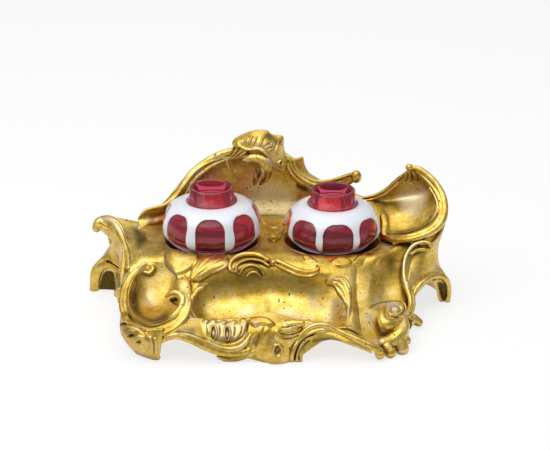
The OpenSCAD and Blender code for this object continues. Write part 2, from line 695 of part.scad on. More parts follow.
module raw_front_apron() {
    sheet(flipped(spread(nets2(FRONT_APRON), 2, 2)), wall);
    rib(nets(S_RIM), [1.8, 2.4, 2.8, 3, 3, 3, 2.8, 2.6, 2.4, 2],
        [1.8, 2.4, 2.6, 2.6, 2.6, 2.6, 2.6, 2.6, 2.4, 2], [0, -1, 0.8]);
    rib(nets(FRONT_SCROLL), [3.4, 3, 3, 3, 3, 2.8, 2.4, 2.4], [3, 2.8, 2.8, 2.8, 2.8, 2.6, 2.4, 2.4],
        [0, -1, 0.8]);
}

module front_apron() {
    color("goldenrod") casting() difference() {
        raw_front_apron();
        raw_pen_trough();
        raw_left_dish();
        raw_right_cove();
    }
}

FRONT_LEAF = [
    [[-9, -62, 27], [1, -62, 29], [12, -64, 28], [23, -66, 26]],
    [[-9, -72, 22], [1, -74, 24], [11, -74, 23], [21, -73, 20]],
    [[-7, -78, 12], [2, -80, 13], [10, -80, 12], [17, -78, 10]],
    [[-5, -80, 3], [2, -82, 0], [9, -82, -2], [15, -80, 0]]];

module front_cartouche() {
    color("gold") casting() difference() {
        union() {
            sheet(flipped(spread(nets2(FRONT_LEAF), 3, 3)), wall + 1);
            lump(net([7, -80, 9]), [5, 3, 6]);
            lump(net([-3, -73, 22]), [6, 4, 6]);
            rib(nets([[4, -65, 27], [12, -67, 27], [24, -68, 24]]), [3, 3.6, 3.4, 2], [3, 3.4, 3, 2],
                [0, -0.5, 1]);
        }
        raw_front_apron();
        raw_pen_trough();
    }
}

BACK_SKIRT = [
    [[-119, 47, 44], [-104, 47, 44], [-87, 58, 44], [-45, 71.5, 44], [0, 73, 44], [45, 70.5, 44],
     [78, 64, 44], [100, 59, 46], [119, 51, 52]],
    [[-117, 45, 28], [-103, 48, 26], [-86, 58, 24], [-45, 70, 24], [0, 71, 24], [45, 69, 24],
     [78, 63, 24], [100, 58, 26], [117, 50, 30]],
    [[-126, 46, 8], [-106, 52, 15], [-86, 61, 16], [-45, 73, 6], [0, 75, 10], [45, 72, 6], [78, 66, 15],
     [100, 62, 15], [121, 53, 10]],
    [[-130, 44, -1], [-107, 53, 13], [-86, 62, 14], [-46, 74, -1], [0, 76, 9], [46, 73, -1], [78, 67, 13],
     [100, 63, 13], [123, 54, -1]]];

module back_skirt() {
    color("darkgoldenrod") casting() difference() {
        sheet(spread(nets2(BACK_SKIRT), 2, 2), wall);
        raw_back_shell();
        raw_back_rail();
        raw_left_wing();
        raw_right_bowl();
        raw_left_skirt();
        raw_right_skirt();
        deck_space();
    }
}

left_well_ruby();
left_well_overlay();
right_well_ruby();
right_well_overlay();
deck();
left_cup();
right_cup();
back_shell();
back_rail();
crest();
right_bowl();
right_skirt();
right_cove();
right_scroll();
right_front_foot();
left_wing();
left_skirt();
left_dish();
left_front_foot();
pen_trough();
trough_scroll();
front_apron();
front_cartouche();
back_skirt();
deck_nuts();
crest_nuts();
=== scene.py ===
import math

import bpy
import bmesh
import numpy as np
from mathutils import Matrix, Vector


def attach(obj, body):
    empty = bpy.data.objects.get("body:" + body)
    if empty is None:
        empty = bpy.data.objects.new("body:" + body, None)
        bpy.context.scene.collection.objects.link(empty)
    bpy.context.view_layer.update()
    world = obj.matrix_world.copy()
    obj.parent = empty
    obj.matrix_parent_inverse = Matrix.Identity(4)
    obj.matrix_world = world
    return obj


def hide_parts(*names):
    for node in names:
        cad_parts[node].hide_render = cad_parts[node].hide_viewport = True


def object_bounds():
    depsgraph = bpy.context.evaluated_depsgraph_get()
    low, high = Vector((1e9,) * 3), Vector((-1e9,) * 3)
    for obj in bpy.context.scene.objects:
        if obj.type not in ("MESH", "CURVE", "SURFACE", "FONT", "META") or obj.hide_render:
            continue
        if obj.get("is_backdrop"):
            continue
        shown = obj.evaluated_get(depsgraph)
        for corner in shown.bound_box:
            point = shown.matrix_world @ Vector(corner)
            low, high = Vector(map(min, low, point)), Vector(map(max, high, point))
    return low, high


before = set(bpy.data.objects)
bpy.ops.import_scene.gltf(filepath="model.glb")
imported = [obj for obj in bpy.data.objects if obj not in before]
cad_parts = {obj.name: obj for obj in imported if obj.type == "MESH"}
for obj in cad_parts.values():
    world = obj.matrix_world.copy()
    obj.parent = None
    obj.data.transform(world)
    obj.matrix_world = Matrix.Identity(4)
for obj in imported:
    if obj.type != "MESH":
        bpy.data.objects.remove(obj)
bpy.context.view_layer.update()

# Deck
# A flat plate of gilt bronze with two round sockets for the wells and eight studs under it. The castings
# around it are bolted to the studs, and their edges lap over it, so that little more than the floor between
# the wells is seen.

MM = 0.001
DECK_TOP = 47
WALL = 3
EDGE_BREAK = 0.4
LEFT_WELL = (-40, 27)
RIGHT_WELL = (47, 27)
LEFT_SOCKET_R = 35.4
RIGHT_SOCKET_R = 36.1
STUD_D = 3
STUD_LENGTH = 6.6
STUD_ROOT = 1
DECK_STUDS = [(4, 3), (-80, -3), (-87, 22), (-6, 58), (-79, 48), (14, 60), (85, 49), (82, 2)]
DECK_EDGE = [(-90, 10), (-72, 2), (-62, -8), (-40, -11.5), (-15, -9), (5, -4), (25, -9), (47, -12),
             (66, -9), (80, 0), (90, 9), (89, 28), (89, 50), (78, 62), (56, 66), (24, 67), (-20, 68),
             (-44, 67), (-66, 63), (-84, 53), (-97, 39), (-97, 10)]
GOLD = [(0.38, (0.46, 0.28, 0.035)), (0.50, (0.68, 0.46, 0.09)), (0.60, (0.84, 0.64, 0.22))]
# The pale gold paints highlights, and the brown below it is grime and painted shade.
HIGHLIGHT_GOLD = (0.92, 0.82, 0.55, 1)
GRIME_AND_SHADE_BROWN = (0.12, 0.078, 0.018, 1)
BARE_BRONZE = (0.56, 0.46, 0.34, 1)
PIT_BLACK = (0.045, 0.028, 0.012, 1)


class Tone:
    """A socket of a material's node tree. Sums and products of tones add the Math nodes for them."""

    def __init__(self, tree, socket=None):
        self.tree = tree
        self.socket = socket

    def node(self, kind, inputs=None, out=0, stops=None, **settings):
        """Adds a node with its settings, then its ramp's stops, then the values or links of its sockets."""
        made = self.tree.nodes.new(kind)
        for name, value in settings.items():
            setattr(made, name, value)
        if stops:
            ramp = made.color_ramp.elements
            while len(ramp) < len(stops):
                ramp.new(0.5)
            for element, (place, colour) in zip(ramp, stops):
                element.position = place
                element.color = (*colour, 1)
        for name, value in (inputs or {}).items():
            if isinstance(value, Tone):
                self.tree.links.new(value.socket, made.inputs[name])
            else:
                made.inputs[name].default_value = value
        return Tone(self.tree, made.outputs[out])

    def maths(self, operation, *values):
        return self.node("ShaderNodeMath", dict(enumerate(values)), operation=operation)

    def __add__(self, other):
        return self.maths("ADD", self, other)

    def __sub__(self, other):
        return self.maths("SUBTRACT", self, other)

    def __rsub__(self, other):
        return self.maths("SUBTRACT", other, self)

    def __mul__(self, other):
        return self.maths("MULTIPLY", self, other)

    __radd__ = __add__
    __rmul__ = __mul__

    def noise(self, place, scale, detail=3.0):
        return self.node("ShaderNodeTexNoise", {"Vector": place, "Scale": scale, "Detail": detail})

    def between(self, low, high):
        """This value spread from 0 at low to 1 at high, and held there."""
        return self.node("ShaderNodeMapRange", {0: self, 1: low, 2: high}, interpolation_type="SMOOTHSTEP")

    def mixed(self, first, second):
        """From the first colour to the second as this value goes from 0 to 1."""
        inputs = {0: self, 6: first, 7: second}
        return self.node("ShaderNodeMix", inputs, out=2, data_type="RGBA")


def new_material(name):
    """A material, the start of its tones and its main shader."""
    made = bpy.data.materials.new(name)
    made.use_nodes = True
    return made, Tone(made.node_tree), made.node_tree.nodes["Principled BSDF"]


def gilt_bronze(name, wear=1.0, pits=1.0):
    """Fire-gilt cast bronze: pale gold, brown with grime and painted shade in the hollows and between parts,
    grey where the gold has worn off, pitted, and paled by painted highlights.
    """
    made, tone, shader = new_material(name)
    place = tone.node("ShaderNodeTexCoord", out="Object")
    edge = tone.node("ShaderNodeNewGeometry", out="Pointiness")
    # Painted shade: ambient occlusion darkens the colour where nearby metal hides the surround.
    open_air = tone.node("ShaderNodeAmbientOcclusion", {"Distance": 0.006}, out="AO", samples=6)
    cloud = tone.noise(place, 28, 4)
    smear = tone.noise(place, 110, 4)
    mottle = tone.noise(place, 420, 3)
    grain = tone.noise(place, 900, 2)
    hollow = 1 - edge.between(0.42, 0.50)
    raised = edge.between(0.51, 0.57)
    gold = tone.node("ShaderNodeValToRGB", {0: cloud * 0.4 + smear * 0.3 + mottle * 0.3}, stops=GOLD)
    # Marks laid on by chase: grime with painted shade, painted highlights, and bare bronze.
    soil = tone.node("ShaderNodeAttribute", out="Fac", attribute_name="soil")
    rubbed = tone.node("ShaderNodeAttribute", out="Fac", attribute_name="rubbed")
    bare = tone.node("ShaderNodeAttribute", out="Fac", attribute_name="bare")
    # Painted highlight: the gold turns pale where the highlight marks lie.
    gold = rubbed.mixed(gold, HIGHLIGHT_GOLD)
    # Painted shade with grime: brown from ambient occlusion, from hollows and from the marks of grime and
    # shade.
    grime_and_painted_shade = (1 - open_air.between(0.2, 0.95)) * 0.65 + hollow * 0.8 + soil
    browned = (grime_and_painted_shade * (smear * 0.8 + 0.6)).between(0.0, 0.9).mixed(gold, GRIME_AND_SHADE_BROWN)
    worn = raised * smear.between(0.38, 0.60) * 0.8 * wear
    patch = (cloud.between(0.60, 0.70) * 0.6 * wear + bare) * smear.between(0.36, 0.58)
    greyed = worn.maths("MAXIMUM", worn, patch)
    silvered = greyed.mixed(browned, BARE_BRONZE)
    speck = tone.noise(place, 420, 2).between(0.66, 0.71) * cloud.between(0.40, 0.56) * pits
    colour = speck.mixed(silvered, PIT_BLACK)
    rough = 0.30 + smear * 0.14 + hollow * 0.15 + soil * 0.25 + rubbed * 0.08 + greyed * 0.1 + speck * 0.3
    height = grain * 0.35 + smear * 0.9 - speck * 1.6
    bump = tone.node("ShaderNodeBump", {"Height": height, "Strength": 0.4, "Distance": 0.0006})
    tree = made.node_tree
    tree.links.new(colour.socket, shader.inputs["Base Color"])
    tree.links.new(rough.socket, shader.inputs["Roughness"])
    tree.links.new(bump.socket, shader.inputs["Normal"])
    shader.inputs["Metallic"].default_value = 1.0
    return made


BRONZE = gilt_bronze("gilt_bronze")


def smooth(points, steps, shut=False):
    """Points on a smooth line through the given ones, open or shut, also for whole rows of points at once."""
    p = np.asarray(points, float)
    if shut:
        p = np.concatenate([p[-1:], p, p[:2]])
    else:
        p = np.concatenate([2 * p[:1] - p[1:2], p, 2 * p[-1:] - p[-2:-1]])
    a, b, c, d = p[:-3], p[1:-2], p[2:-1], p[3:]
    runs = [b + 0.5 * t * ((c - a) + t * ((2 * a - 5 * b + 4 * c - d) + t * (3 * b - a - 3 * c + d)))
            for t in np.arange(steps) / steps]
    line = np.stack(runs, 1).reshape(-1, *p.shape[1:])
    return line if shut else np.concatenate([line, p[-2:-1]])


def mesh_object(name, verts, faces):
    """A mesh object from points in millimetres, its faces turned outwards."""
    mesh = bpy.data.meshes.new(name)
    mesh.from_pydata((np.asarray(verts) * MM).tolist(), [], [tuple(f) for f in faces])
    shape = bmesh.new()
    shape.from_mesh(mesh)
    bmesh.ops.recalc_face_normals(shape, faces=shape.faces)
    shape.to_mesh(mesh)
    shape.free()
    made = bpy.data.objects.new(name, mesh)
    bpy.context.scene.collection.objects.link(made)
    return made


def finished(piece):
    """The piece with its modifiers turned into a plain smooth-shaded mesh."""
    graph = bpy.context.evaluated_depsgraph_get()
    mesh = bpy.data.meshes.new_from_object(piece.evaluated_get(graph))
    piece.modifiers.clear()
    piece.data = mesh
    mesh.shade_smooth()
    return piece


def placed(piece, body, slot, material, *nodes):
    """Gives the piece its material and its place in the frame."""
    piece.data.materials.clear()
    piece.data.materials.append(material)
    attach(piece, body)
    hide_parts(*nodes)
    return piece


def deck_plate():
    """The plate, cut from sheet with both sockets open and its edges broken, and the studs under it."""
    shape = bmesh.new()
    outlines = [smooth(DECK_EDGE, 6, True)]
    for (x, y), r in ((LEFT_WELL, LEFT_SOCKET_R), (RIGHT_WELL, RIGHT_SOCKET_R)):
        turn = np.linspace(0, 2 * np.pi, 128, endpoint=False)
        outlines.append(np.stack([x + r * np.cos(turn), y + r * np.sin(turn)], 1))
    edges = []
    for outline in outlines:
        ring = [shape.verts.new((x * MM, y * MM, (DECK_TOP - WALL) * MM)) for x, y in outline]
        edges += [shape.edges.new((ring[i - 1], ring[i])) for i in range(len(ring))]
    bmesh.ops.triangle_fill(shape, edges=edges, use_beauty=True)
    lifted = bmesh.ops.extrude_face_region(shape, geom=shape.faces[:])
    top = [v for v in lifted["geom"] if isinstance(v, bmesh.types.BMVert)]
    bmesh.ops.translate(shape, verts=top, vec=(0, 0, WALL * MM))
    bmesh.ops.recalc_face_normals(shape, faces=shape.faces)
    for x, y in DECK_STUDS:
        middle = DECK_TOP - WALL + (STUD_ROOT - STUD_LENGTH) / 2
        bmesh.ops.create_cone(shape, cap_ends=True, segments=32, radius1=STUD_D / 2 * MM,
                              radius2=STUD_D / 2 * MM, depth=(STUD_LENGTH + STUD_ROOT) * MM,
                              matrix=Matrix.Translation((x * MM, y * MM, middle * MM)))
    mesh = bpy.data.meshes.new("deck_plate")
    shape.to_mesh(mesh)
    shape.free()
    piece = bpy.data.objects.new("deck_plate", mesh)
    bpy.context.scene.collection.objects.link(piece)
    rounded = piece.modifiers.new("broken_edge", "BEVEL")
    rounded.width = EDGE_BREAK * MM
    rounded.segments = 2
    rounded.limit_method = "ANGLE"
    return finished(piece)


placed(deck_plate(), "stand", "gilt_bronze", BRONZE, "deck")


# Cups
# Two shallow cups of spun brass that line the sockets. Their floors carry the wells, and a ledge under the
# deck holds each one down. Only a dark crescent of them shows beside the wells.

SEAT = 42
CUP_WALL = 1.2
CUP_LEDGE = 1.5


def lathe(name, outline, at, turns=160):
    """A turned piece: its outline, a closed line of radius and height, spun about an upright axis."""
    ring = np.asarray(outline, float)
    n = len(ring)
    angles = np.linspace(0, 2 * np.pi, turns, endpoint=False)
    verts = [(at[0] + r * math.cos(a), at[1] + r * math.sin(a), z) for a in angles for r, z in ring]
    faces = [(i * n + j, ((i + 1) % turns) * n + j, ((i + 1) % turns) * n + (j + 1) % n, i * n + (j + 1) % n)
             for i in range(turns) for j in range(n)]
    made = mesh_object(name, verts, faces)
    shape = bmesh.new()
    shape.from_mesh(made.data)
    bmesh.ops.remove_doubles(shape, verts=shape.verts, dist=1e-6)
    bmesh.ops.dissolve_degenerate(shape, dist=1e-7, edges=shape.edges)
    bmesh.ops.recalc_face_normals(shape, faces=shape.faces)
    shape.to_mesh(made.data)
    shape.free()
    made.data.shade_smooth()
    return made


def cup_outline(r):
    """From the middle of the underside out, up over the ledge, and back in along the floor."""
    under_deck = DECK_TOP - WALL
    return [(0, SEAT - CUP_WALL), (r, SEAT - CUP_WALL), (r, under_deck - CUP_WALL),
            (r + CUP_LEDGE, under_deck - CUP_WALL), (r + CUP_LEDGE, under_deck), (r, under_deck),
            (r, DECK_TOP), (r - CUP_WALL, DECK_TOP), (r - CUP_WALL, SEAT), (0, SEAT)]


CUP_BRASS = gilt_bronze("cup_brass", wear=0.3, pits=1.5)
for side, at, r in (("left", LEFT_WELL, LEFT_SOCKET_R), ("right", RIGHT_WELL, RIGHT_SOCKET_R)):
    cup = lathe(f"{side}_socket_cup", cup_outline(r), at)
    placed(cup, "stand", "gilt_bronze", CUP_BRASS, f"{side}_cup")


# Pen trough
# A long hollow casting of gilt bronze in front of the wells, in which the pens lie, bolted under the deck
# by a lug. Its back wall laps over the deck, a soft ridge divides its floor, acanthus leaves hang over its
# left end and a ribbed leaf closes it at the right.

FINE = 0.55
FRONT_FROM = 0.05
FRONT_FADE = 0.2
MARGIN = 4
UP = (0, 0, 1)
LUG = 3
LUG_HALF_W = (3.8, 3.6, 2.5)
LUG_HALF_T = (LUG / 2, LUG / 2, 1.2)
TROUGH_LUG_ROOT = (4, -9, 44)
PHOTO_FOCAL = 1540
PHOTO_MIDDLE = np.array((275, 225))
TILT = math.radians(22)
DISTANCE = 1100
AIM = np.array((5.5, 15, 62))
AHEAD = np.array((0, math.cos(TILT), -math.sin(TILT)))
UPRIGHT = np.array((0, math.sin(TILT), math.cos(TILT)))
EYE = AIM - DISTANCE * AHEAD
TO_EYE = -AHEAD


def seen(points):
    """Where points are seen in the photo, in its pixels."""
    ray = points - EYE
    depth = ray @ AHEAD
    return PHOTO_MIDDLE + PHOTO_FOCAL * np.stack([ray[:, 0], -(ray @ UPRIGHT)], 1) / depth[:, None]


def spots(places):
    """Points that the photo shows at a pixel across and down, at a given depth along the Y axis."""
    given = np.asarray(places, float)
    across, down = (given[..., :2] - PHOTO_MIDDLE).T / PHOTO_FOCAL
    ray = AHEAD + across.T[..., None] * np.array((1, 0, 0)) - down.T[..., None] * UPRIGHT
    return EYE + ray * ((given[..., 2] - EYE[1]) / ray[..., 1])[..., None]


def plate(net, thick, side=1, across=9, down=7, shut=False):
    """A closed sheet of metal. Its face is the smooth surface through the net, and its back lies behind."""
    face = smooth(smooth(net, down).swapaxes(0, 1), across, shut).swapaxes(0, 1)
    return backed(face, thick, side, shut)


def backed(face, thick, side=1, shut=False):
    """A grid of points given a back and edges, as closed points and faces."""
    rows, cols = face.shape[:2]
    if shut:
        wide = np.concatenate([face[:, -1:], face, face[:, :1]], 1)
        across = np.gradient(wide, axis=1)[:, 1:-1]
    else:
        across = np.gradient(face, axis=1)
    normal = side * np.cross(across, np.gradient(face, axis=0))
    normal /= np.linalg.norm(normal, axis=2, keepdims=True) + 1e-9
    verts = np.concatenate([face.reshape(-1, 3), (face - thick * normal).reshape(-1, 3)])
    half = rows * cols
    reach = cols if shut else cols - 1
    faces = []
    for i in range(rows - 1):
        for j in range(reach):
            a, b = i * cols + j, i * cols + (j + 1) % cols
            faces.append((a, b, b + cols, a + cols))
            faces.append((half + a, half + a + cols, half + b + cols, half + b))
    for j in range(reach):
        for i in (0, rows - 1):
            a, b = i * cols + j, i * cols + (j + 1) % cols
            faces.append((a, half + a, half + b, b))
    if shut:
        last = (rows - 1) * cols
        faces.append(tuple(last + j for j in range(cols)))
        faces.append(tuple(half + last + j for j in range(cols)))
    else:
        for i in range(rows - 1):
            for j in (0, cols - 1):
                a, b = i * cols + j, (i + 1) * cols + j
                faces.append((a, half + a, half + b, b))
    return verts, faces


def along(values, count):
    """A list of sizes spread smoothly over a number of places."""
    line = smooth(np.asarray(values, float)[:, None], 12)[:, 0]
    return np.interp(np.linspace(0, 1, count), np.linspace(0, 1, len(line)), line)


def joined_rings(count, sides):
    """The faces that join a row of rings of points, with a cap at either end."""
    faces = []
    for i in range(count - 1):
        for k in range(sides):
            a, b = i * sides + k, i * sides + (k + 1) % sides
            faces.append((a, b, b + sides, a + sides))
    faces.append(tuple(range(sides)))
    faces.append(tuple((count - 1) * sides + k for k in range(sides)))
    return faces


def bead(path, wide, high, up=TO_EYE, shift=0.0, steps=9, sides=14):
    """A round-ended moulding along a path. Its half width and half height follow lists of sizes."""
    line = smooth(path, steps)
    wide = along(wide, len(line))
    high = along(high, len(line))
    rounding = np.array((0.95, 0.75, 0.45))
    for end, step in ((0, 1), (-1, -2)):
        way = line[end] - line[end + step]
        way /= np.linalg.norm(way) + 1e-9
        reach = np.sqrt(1 - rounding ** 2)[:, None] * wide[end] * way + line[end]
        if end == 0:
            line = np.concatenate([reach[::-1], line])
            wide = np.concatenate([wide[0] * rounding[::-1], wide])
            high = np.concatenate([high[0] * rounding[::-1], high])
        else:
            line = np.concatenate([line, reach])
            wide = np.concatenate([wide, wide[-1] * rounding])
            high = np.concatenate([high, high[-1] * rounding])
    ahead = np.gradient(line, axis=0)
    ahead /= np.linalg.norm(ahead, axis=1, keepdims=True) + 1e-9
    aside = np.cross(ahead, np.asarray(up, float))
    aside /= np.linalg.norm(aside, axis=1, keepdims=True) + 1e-9
    out = np.cross(aside, ahead)
    turn = np.linspace(0, 2 * np.pi, sides, endpoint=False)[None, :, None]
    middle = line + aside * shift
    rings = (middle[:, None] + aside[:, None] * wide[:, None, None] * np.cos(turn)
             + out[:, None] * high[:, None, None] * np.sin(turn))
    return rings.reshape(-1, 3), joined_rings(len(line), sides)


def ball(at, size, levels=9, sides=16):
    """A rounded boss with the given half sizes."""
    turn = np.linspace(0.12, np.pi - 0.12, levels)
    spin = np.linspace(0, 2 * np.pi, sides, endpoint=False)
    rings = [[(at[0] + size[0] * math.sin(t) * math.cos(s), at[1] + size[1] * math.sin(t) * math.sin(s),
               at[2] - size[2] * math.cos(t)) for s in spin] for t in turn]
    return np.array(rings).reshape(-1, 3), joined_rings(levels, sides)


def lug(stud, root):
    """A flat ear under the deck, from a stud of the deck to its root on the casting's wall."""
    eye = np.array((*stud, DECK_TOP - WALL - LUG / 2))
    return bead([eye, (eye + root) / 2, root], LUG_HALF_W, LUG_HALF_T, UP)


def near(places, points, shut=False):
    """How far places are from a smooth line, and how far along it they lie, from 0 to 1."""
    line = smooth(points, 6, shut)
    if shut:
        line = np.concatenate([line, line[:1]])
    best = np.full(len(places), 1e9)
    share = np.zeros(len(places))
    for i, (a, b) in enumerate(zip(line[:-1], line[1:])):
        step = b - a
        t = np.clip(((places - a) @ step) / (step @ step + 1e-9), 0, 1)
        far = ((places - a - t[:, None] * step) ** 2).sum(1)
        closer = far < best
        best[closer] = far[closer]
        share[closer] = (i + t[closer]) / (len(line) - 1)
    return np.sqrt(best), share


def ridge(points, half, high, fade=0.12):
    """A raised line, or a sunk one where its height is negative. It fades at its ends."""

    def shape(places):
        off, share = near(places, points)
        across = np.clip(off / half, 0, 1)
        body = (1 - across ** 2) ** 2
        return high * body * np.clip(np.minimum(share, 1 - share) / fade, 0, 1)

    return points, half, shape


def field(points, high, soft):
    """A raised or sunk patch inside a closed line, with an edge that rises over a soft width."""

    def shape(places):
        off, _ = near(places, points, True)
        line = smooth(points, 6, True)
        inside = np.zeros(len(places), bool)
        for (ax, ay), (bx, by) in zip(line, np.roll(line, -1, axis=0)):
            cross = (ay > places[:, 1]) != (by > places[:, 1])
            inside ^= cross & (places[:, 0] < (bx - ax) * (places[:, 1] - ay) / (by - ay + 1e-12) + ax)
        rise = np.clip(off / soft, 0, 1)
        return high * np.where(inside, rise * rise * (3 - 2 * rise), 0)

    return points, soft, shape


def chase(piece, strokes, **shades):
    """Works ornament into the front of a casting, and grime, wear, painted shade and painted highlights into
    its gilding, in photo pixels.
    """
    count = len(piece.data.vertices)
    points = np.zeros(count * 3, np.float32)
    normals = np.zeros(count * 3, np.float32)
    piece.data.vertices.foreach_get("co", points)
    piece.data.vertices.foreach_get("normal", normals)
    points = points.reshape(-1, 3).astype(float)
    normals = normals.reshape(-1, 3).astype(float)
    places = seen(points / MM)
    front = np.clip((normals @ TO_EYE - FRONT_FROM) / FRONT_FADE, 0, 1)

    def total(drawn):
        amount = np.zeros(count)
        for line, reach, shape in drawn:
            low = np.min(line, axis=0) - reach - MARGIN
            high = np.max(line, axis=0) + reach + MARGIN
            close = np.flatnonzero(np.all((places > low) & (places < high), axis=1) & (front > 0))
            if len(close):
                amount[close] += shape(places[close])
        return amount * front

    for name, drawn in shades.items():
        layer = piece.data.attributes.new(name, "FLOAT", "POINT")
        layer.data.foreach_set("value", np.clip(total(drawn), 0, 1).astype(np.float32))
    points += normals * (total(strokes) * MM)[:, None]
    points[:, 2] = np.maximum(points[:, 2], 0)
    piece.data.vertices.foreach_set("co", points.astype(np.float32).ravel())
    piece.data.update()


def cast(name, parts, *nodes, fine=FINE, ease=4, strokes=(), **shades):
    """One casting: its parts run together as metal in a mould, with soft inner corners and a flat sole."""
    verts, faces, start = [], [], 0
    for points, rings in parts:
        verts.append(points)
        faces += [tuple(start + i for i in ring) for ring in rings]
        start += len(points)
    piece = mesh_object(name, np.concatenate(verts), faces)
    run = piece.modifiers.new("run_together", "REMESH")
    run.mode = "VOXEL"
    run.voxel_size = fine * MM
    eased = piece.modifiers.new("eased", "SMOOTH")
    eased.factor = 0.5
    eased.iterations = ease
    finished(piece)
    chase(piece, strokes, **shades)
    return placed(piece, "stand", "gilt_bronze", BRONZE, *nodes)


TROUGH = [
    [(-70, -4.5, 47.6), (-60, -5, 48.4), (-50, -6.5, 48.8), (-38, -6.5, 48.8), (-15, -3, 48),
     (5, 1, 47.6), (25, -3.5, 47.8), (45, -7, 48), (62, -4.5, 47.8), (70, -2, 46.4)],
    [(-70, -11, 46), (-60, -12, 46.8), (-50, -13, 47), (-38, -13, 47), (-15, -9.5, 47), (5, -5, 46.8),
     (25, -9.5, 47), (45, -12.5, 47), (62, -10, 46.8), (70, -8, 45)],
    [(-64, -21, 42), (-57, -23, 42), (-48, -24, 42.5), (-39, -24, 43), (-18, -19, 43.5), (5, -16, 43.5),
     (25, -19, 43), (42, -24, 42), (58, -21, 40), (66, -17, 35.5)],
    [(-61, -35, 36), (-54, -36, 34), (-46, -30, 33), (-38, -27, 32.5), (-17, -23, 32.5), (5, -21, 33.5),
     (25, -23, 32), (42, -27, 31), (57, -34, 31), (66, -30, 25)],
    [(-60, -46, 33), (-53, -47, 31), (-46, -38, 24.5), (-37, -34, 22.5), (-17, -30, 22), (5, -28, 23.5),
     (25, -30, 21.5), (43, -35, 21), (57, -46, 26), (67, -41, 18.5)],
    [(-60, -55, 31), (-53, -56, 29), (-46, -51, 19.5), (-37, -49, 16), (-17, -47, 15), (4, -46, 16.5),
     (25, -48, 14.5), (43, -51, 14.5), (57, -55, 22.5), (67, -51, 15)],
    [(-60, -62, 29), (-53, -63, 27), (-46, -62, 24.5), (-38, -62, 24), (-18, -60, 24), (3, -60, 25),
     (25, -62, 23.5), (42, -66, 21), (57, -66, 19), (67, -66, 11)],
]

BIG_LEAF = [(166, 249), (162, 257), (164, 267), (170, 274), (178, 276), (187, 273), (195, 266),
            (199, 256), (188, 251), (176, 246)]
FAN_LEAF = [(189, 280), (192, 268), (198, 258), (206, 254), (213, 256), (221, 257), (229, 260), (229.5, 267),
            (222, 272), (211, 276), (199, 283)]
FAN_VEINS = [[(190, 278), (195, 267), (200.5, 257)], [(190.5, 278), (199, 267), (207, 256)],
             [(191, 278.5), (203, 268), (214, 258)], [(192, 279), (208, 270), (222, 261)],
             [(193, 280), (210, 273), (226, 266.5)]]
LEAF_RAYS = [[(176, 256), (178, 249.5)], [(180, 257), (183, 250.5)], [(185, 258), (188, 251)]]
LEAF_SHADE = [(163.5, 248), (160.5, 258), (163, 268), (170, 276), (178, 279), (187, 278)]
CORNER_KNOB = [(193, 286), (197, 281), (206, 282), (212, 279), (208, 287), (202, 292), (196, 297),
               (192, 292)]
BASIN_EDGE = [(203, 288, -38), (197, 292, -41), (192.5, 298, -45), (190, 306, -50), (192, 314, -55),
              (198, 320.5, -59), (208, 323, -62)]
BASIN_SHADE = [(203, 292), (222, 282), (245, 281), (270, 281), (300, 285), (327, 290)]
SADDLE = [(181, 274, -21), (183, 283, -30), (185, 292, -38), (187, 300, -47)]
END_LEAF = [(325, 281), (331, 276), (340, 276), (347, 280), (351, 288), (352, 300), (351, 312),
            (348, 322), (345, 327), (347, 315), (344, 303), (338, 295), (335, 289), (332, 286), (327, 285)]
END_VEINS = [[(333, 278), (341, 279), (347, 285), (350, 296), (350, 312)],
             [(332, 281), (339, 282), (345, 289), (348, 300), (349, 314)],
             [(337, 286), (342, 291), (346, 300), (348, 312)]]
DECK_LEAVES = [[(302, 257), (307, 255), (313, 258), (318, 263), (312, 264), (305, 262)],
               [(330, 262), (338, 257), (348, 258), (352, 264), (344, 268), (335, 267)],
               [(352, 264), (358, 256), (368, 254), (376, 257), (372, 264), (362, 268)]]
BASIN_PAINTED_SHADE = [
    ([(196, 306), (206, 300), (222, 300)], 12, 0.3),
    ([(262, 296), (268, 306), (266, 316)], 7, 0.35),
    ([(300, 301), (318, 304), (336, 304)], 13, 0.4),
]
BASIN_HIGHLIGHTS = [
    ([(234, 314), (246, 311), (260, 307)], 8, 0.5),
    ([(274, 309), (288, 314), (306, 319)], 8, 0.5),
    ([(343, 310), (345, 317)], 5, 0.7),
]

# Painted shade darkens the basin, the big leaf and patches of the floor, and painted highlights pale the
# floor in three places.
cast("pen_trough_casting", [
    plate(TROUGH, WALL, -1),
    lug(DECK_STUDS[0], TROUGH_LUG_ROOT),
    bead(spots(SADDLE), (4, 5, 5, 4), (1.6, 2.2, 2.2, 1.6)),
    bead(spots(BASIN_EDGE), (1.2, 1.8, 2, 2, 2, 1.8, 1.2), (1.2, 2, 2.4, 2.4, 2.4, 2, 1.2)),
], "pen_trough", fine=0.6, strokes=[
    field(BIG_LEAF, 1.6, 2.5),
    field(BIG_LEAF, 2.8, 12),
    field(FAN_LEAF, 1.4, 2.2),
    field(FAN_LEAF, 1.6, 8),
    *[ridge(vein, 1, -0.45) for vein in FAN_VEINS],
    *[ridge(ray, 0.8, -0.5) for ray in LEAF_RAYS],
    field(CORNER_KNOB, 1.1, 4),
    field(END_LEAF, 2.4, 2),
    *[ridge(vein, 1.1, -0.8) for vein in END_VEINS],
    *[field(leaf, 1.4, 2) for leaf in DECK_LEAVES],
], soil=[
    ridge(BASIN_SHADE, 16, 0.5, fade=0.1),
    ridge(LEAF_SHADE, 2.2, 0.5),
    field(BIG_LEAF, 0.25, 6),
    *[ridge(line, half, share, fade=0.3) for line, half, share in BASIN_PAINTED_SHADE],
], rubbed=[ridge(line, half, share, fade=0.4) for line, half, share in BASIN_HIGHLIGHTS])


# Trough scroll
# A C-scroll and an S-scroll in one small casting of gilt bronze, soldered along the top edge of the trough.
# A round knob covers the place where the two meet.

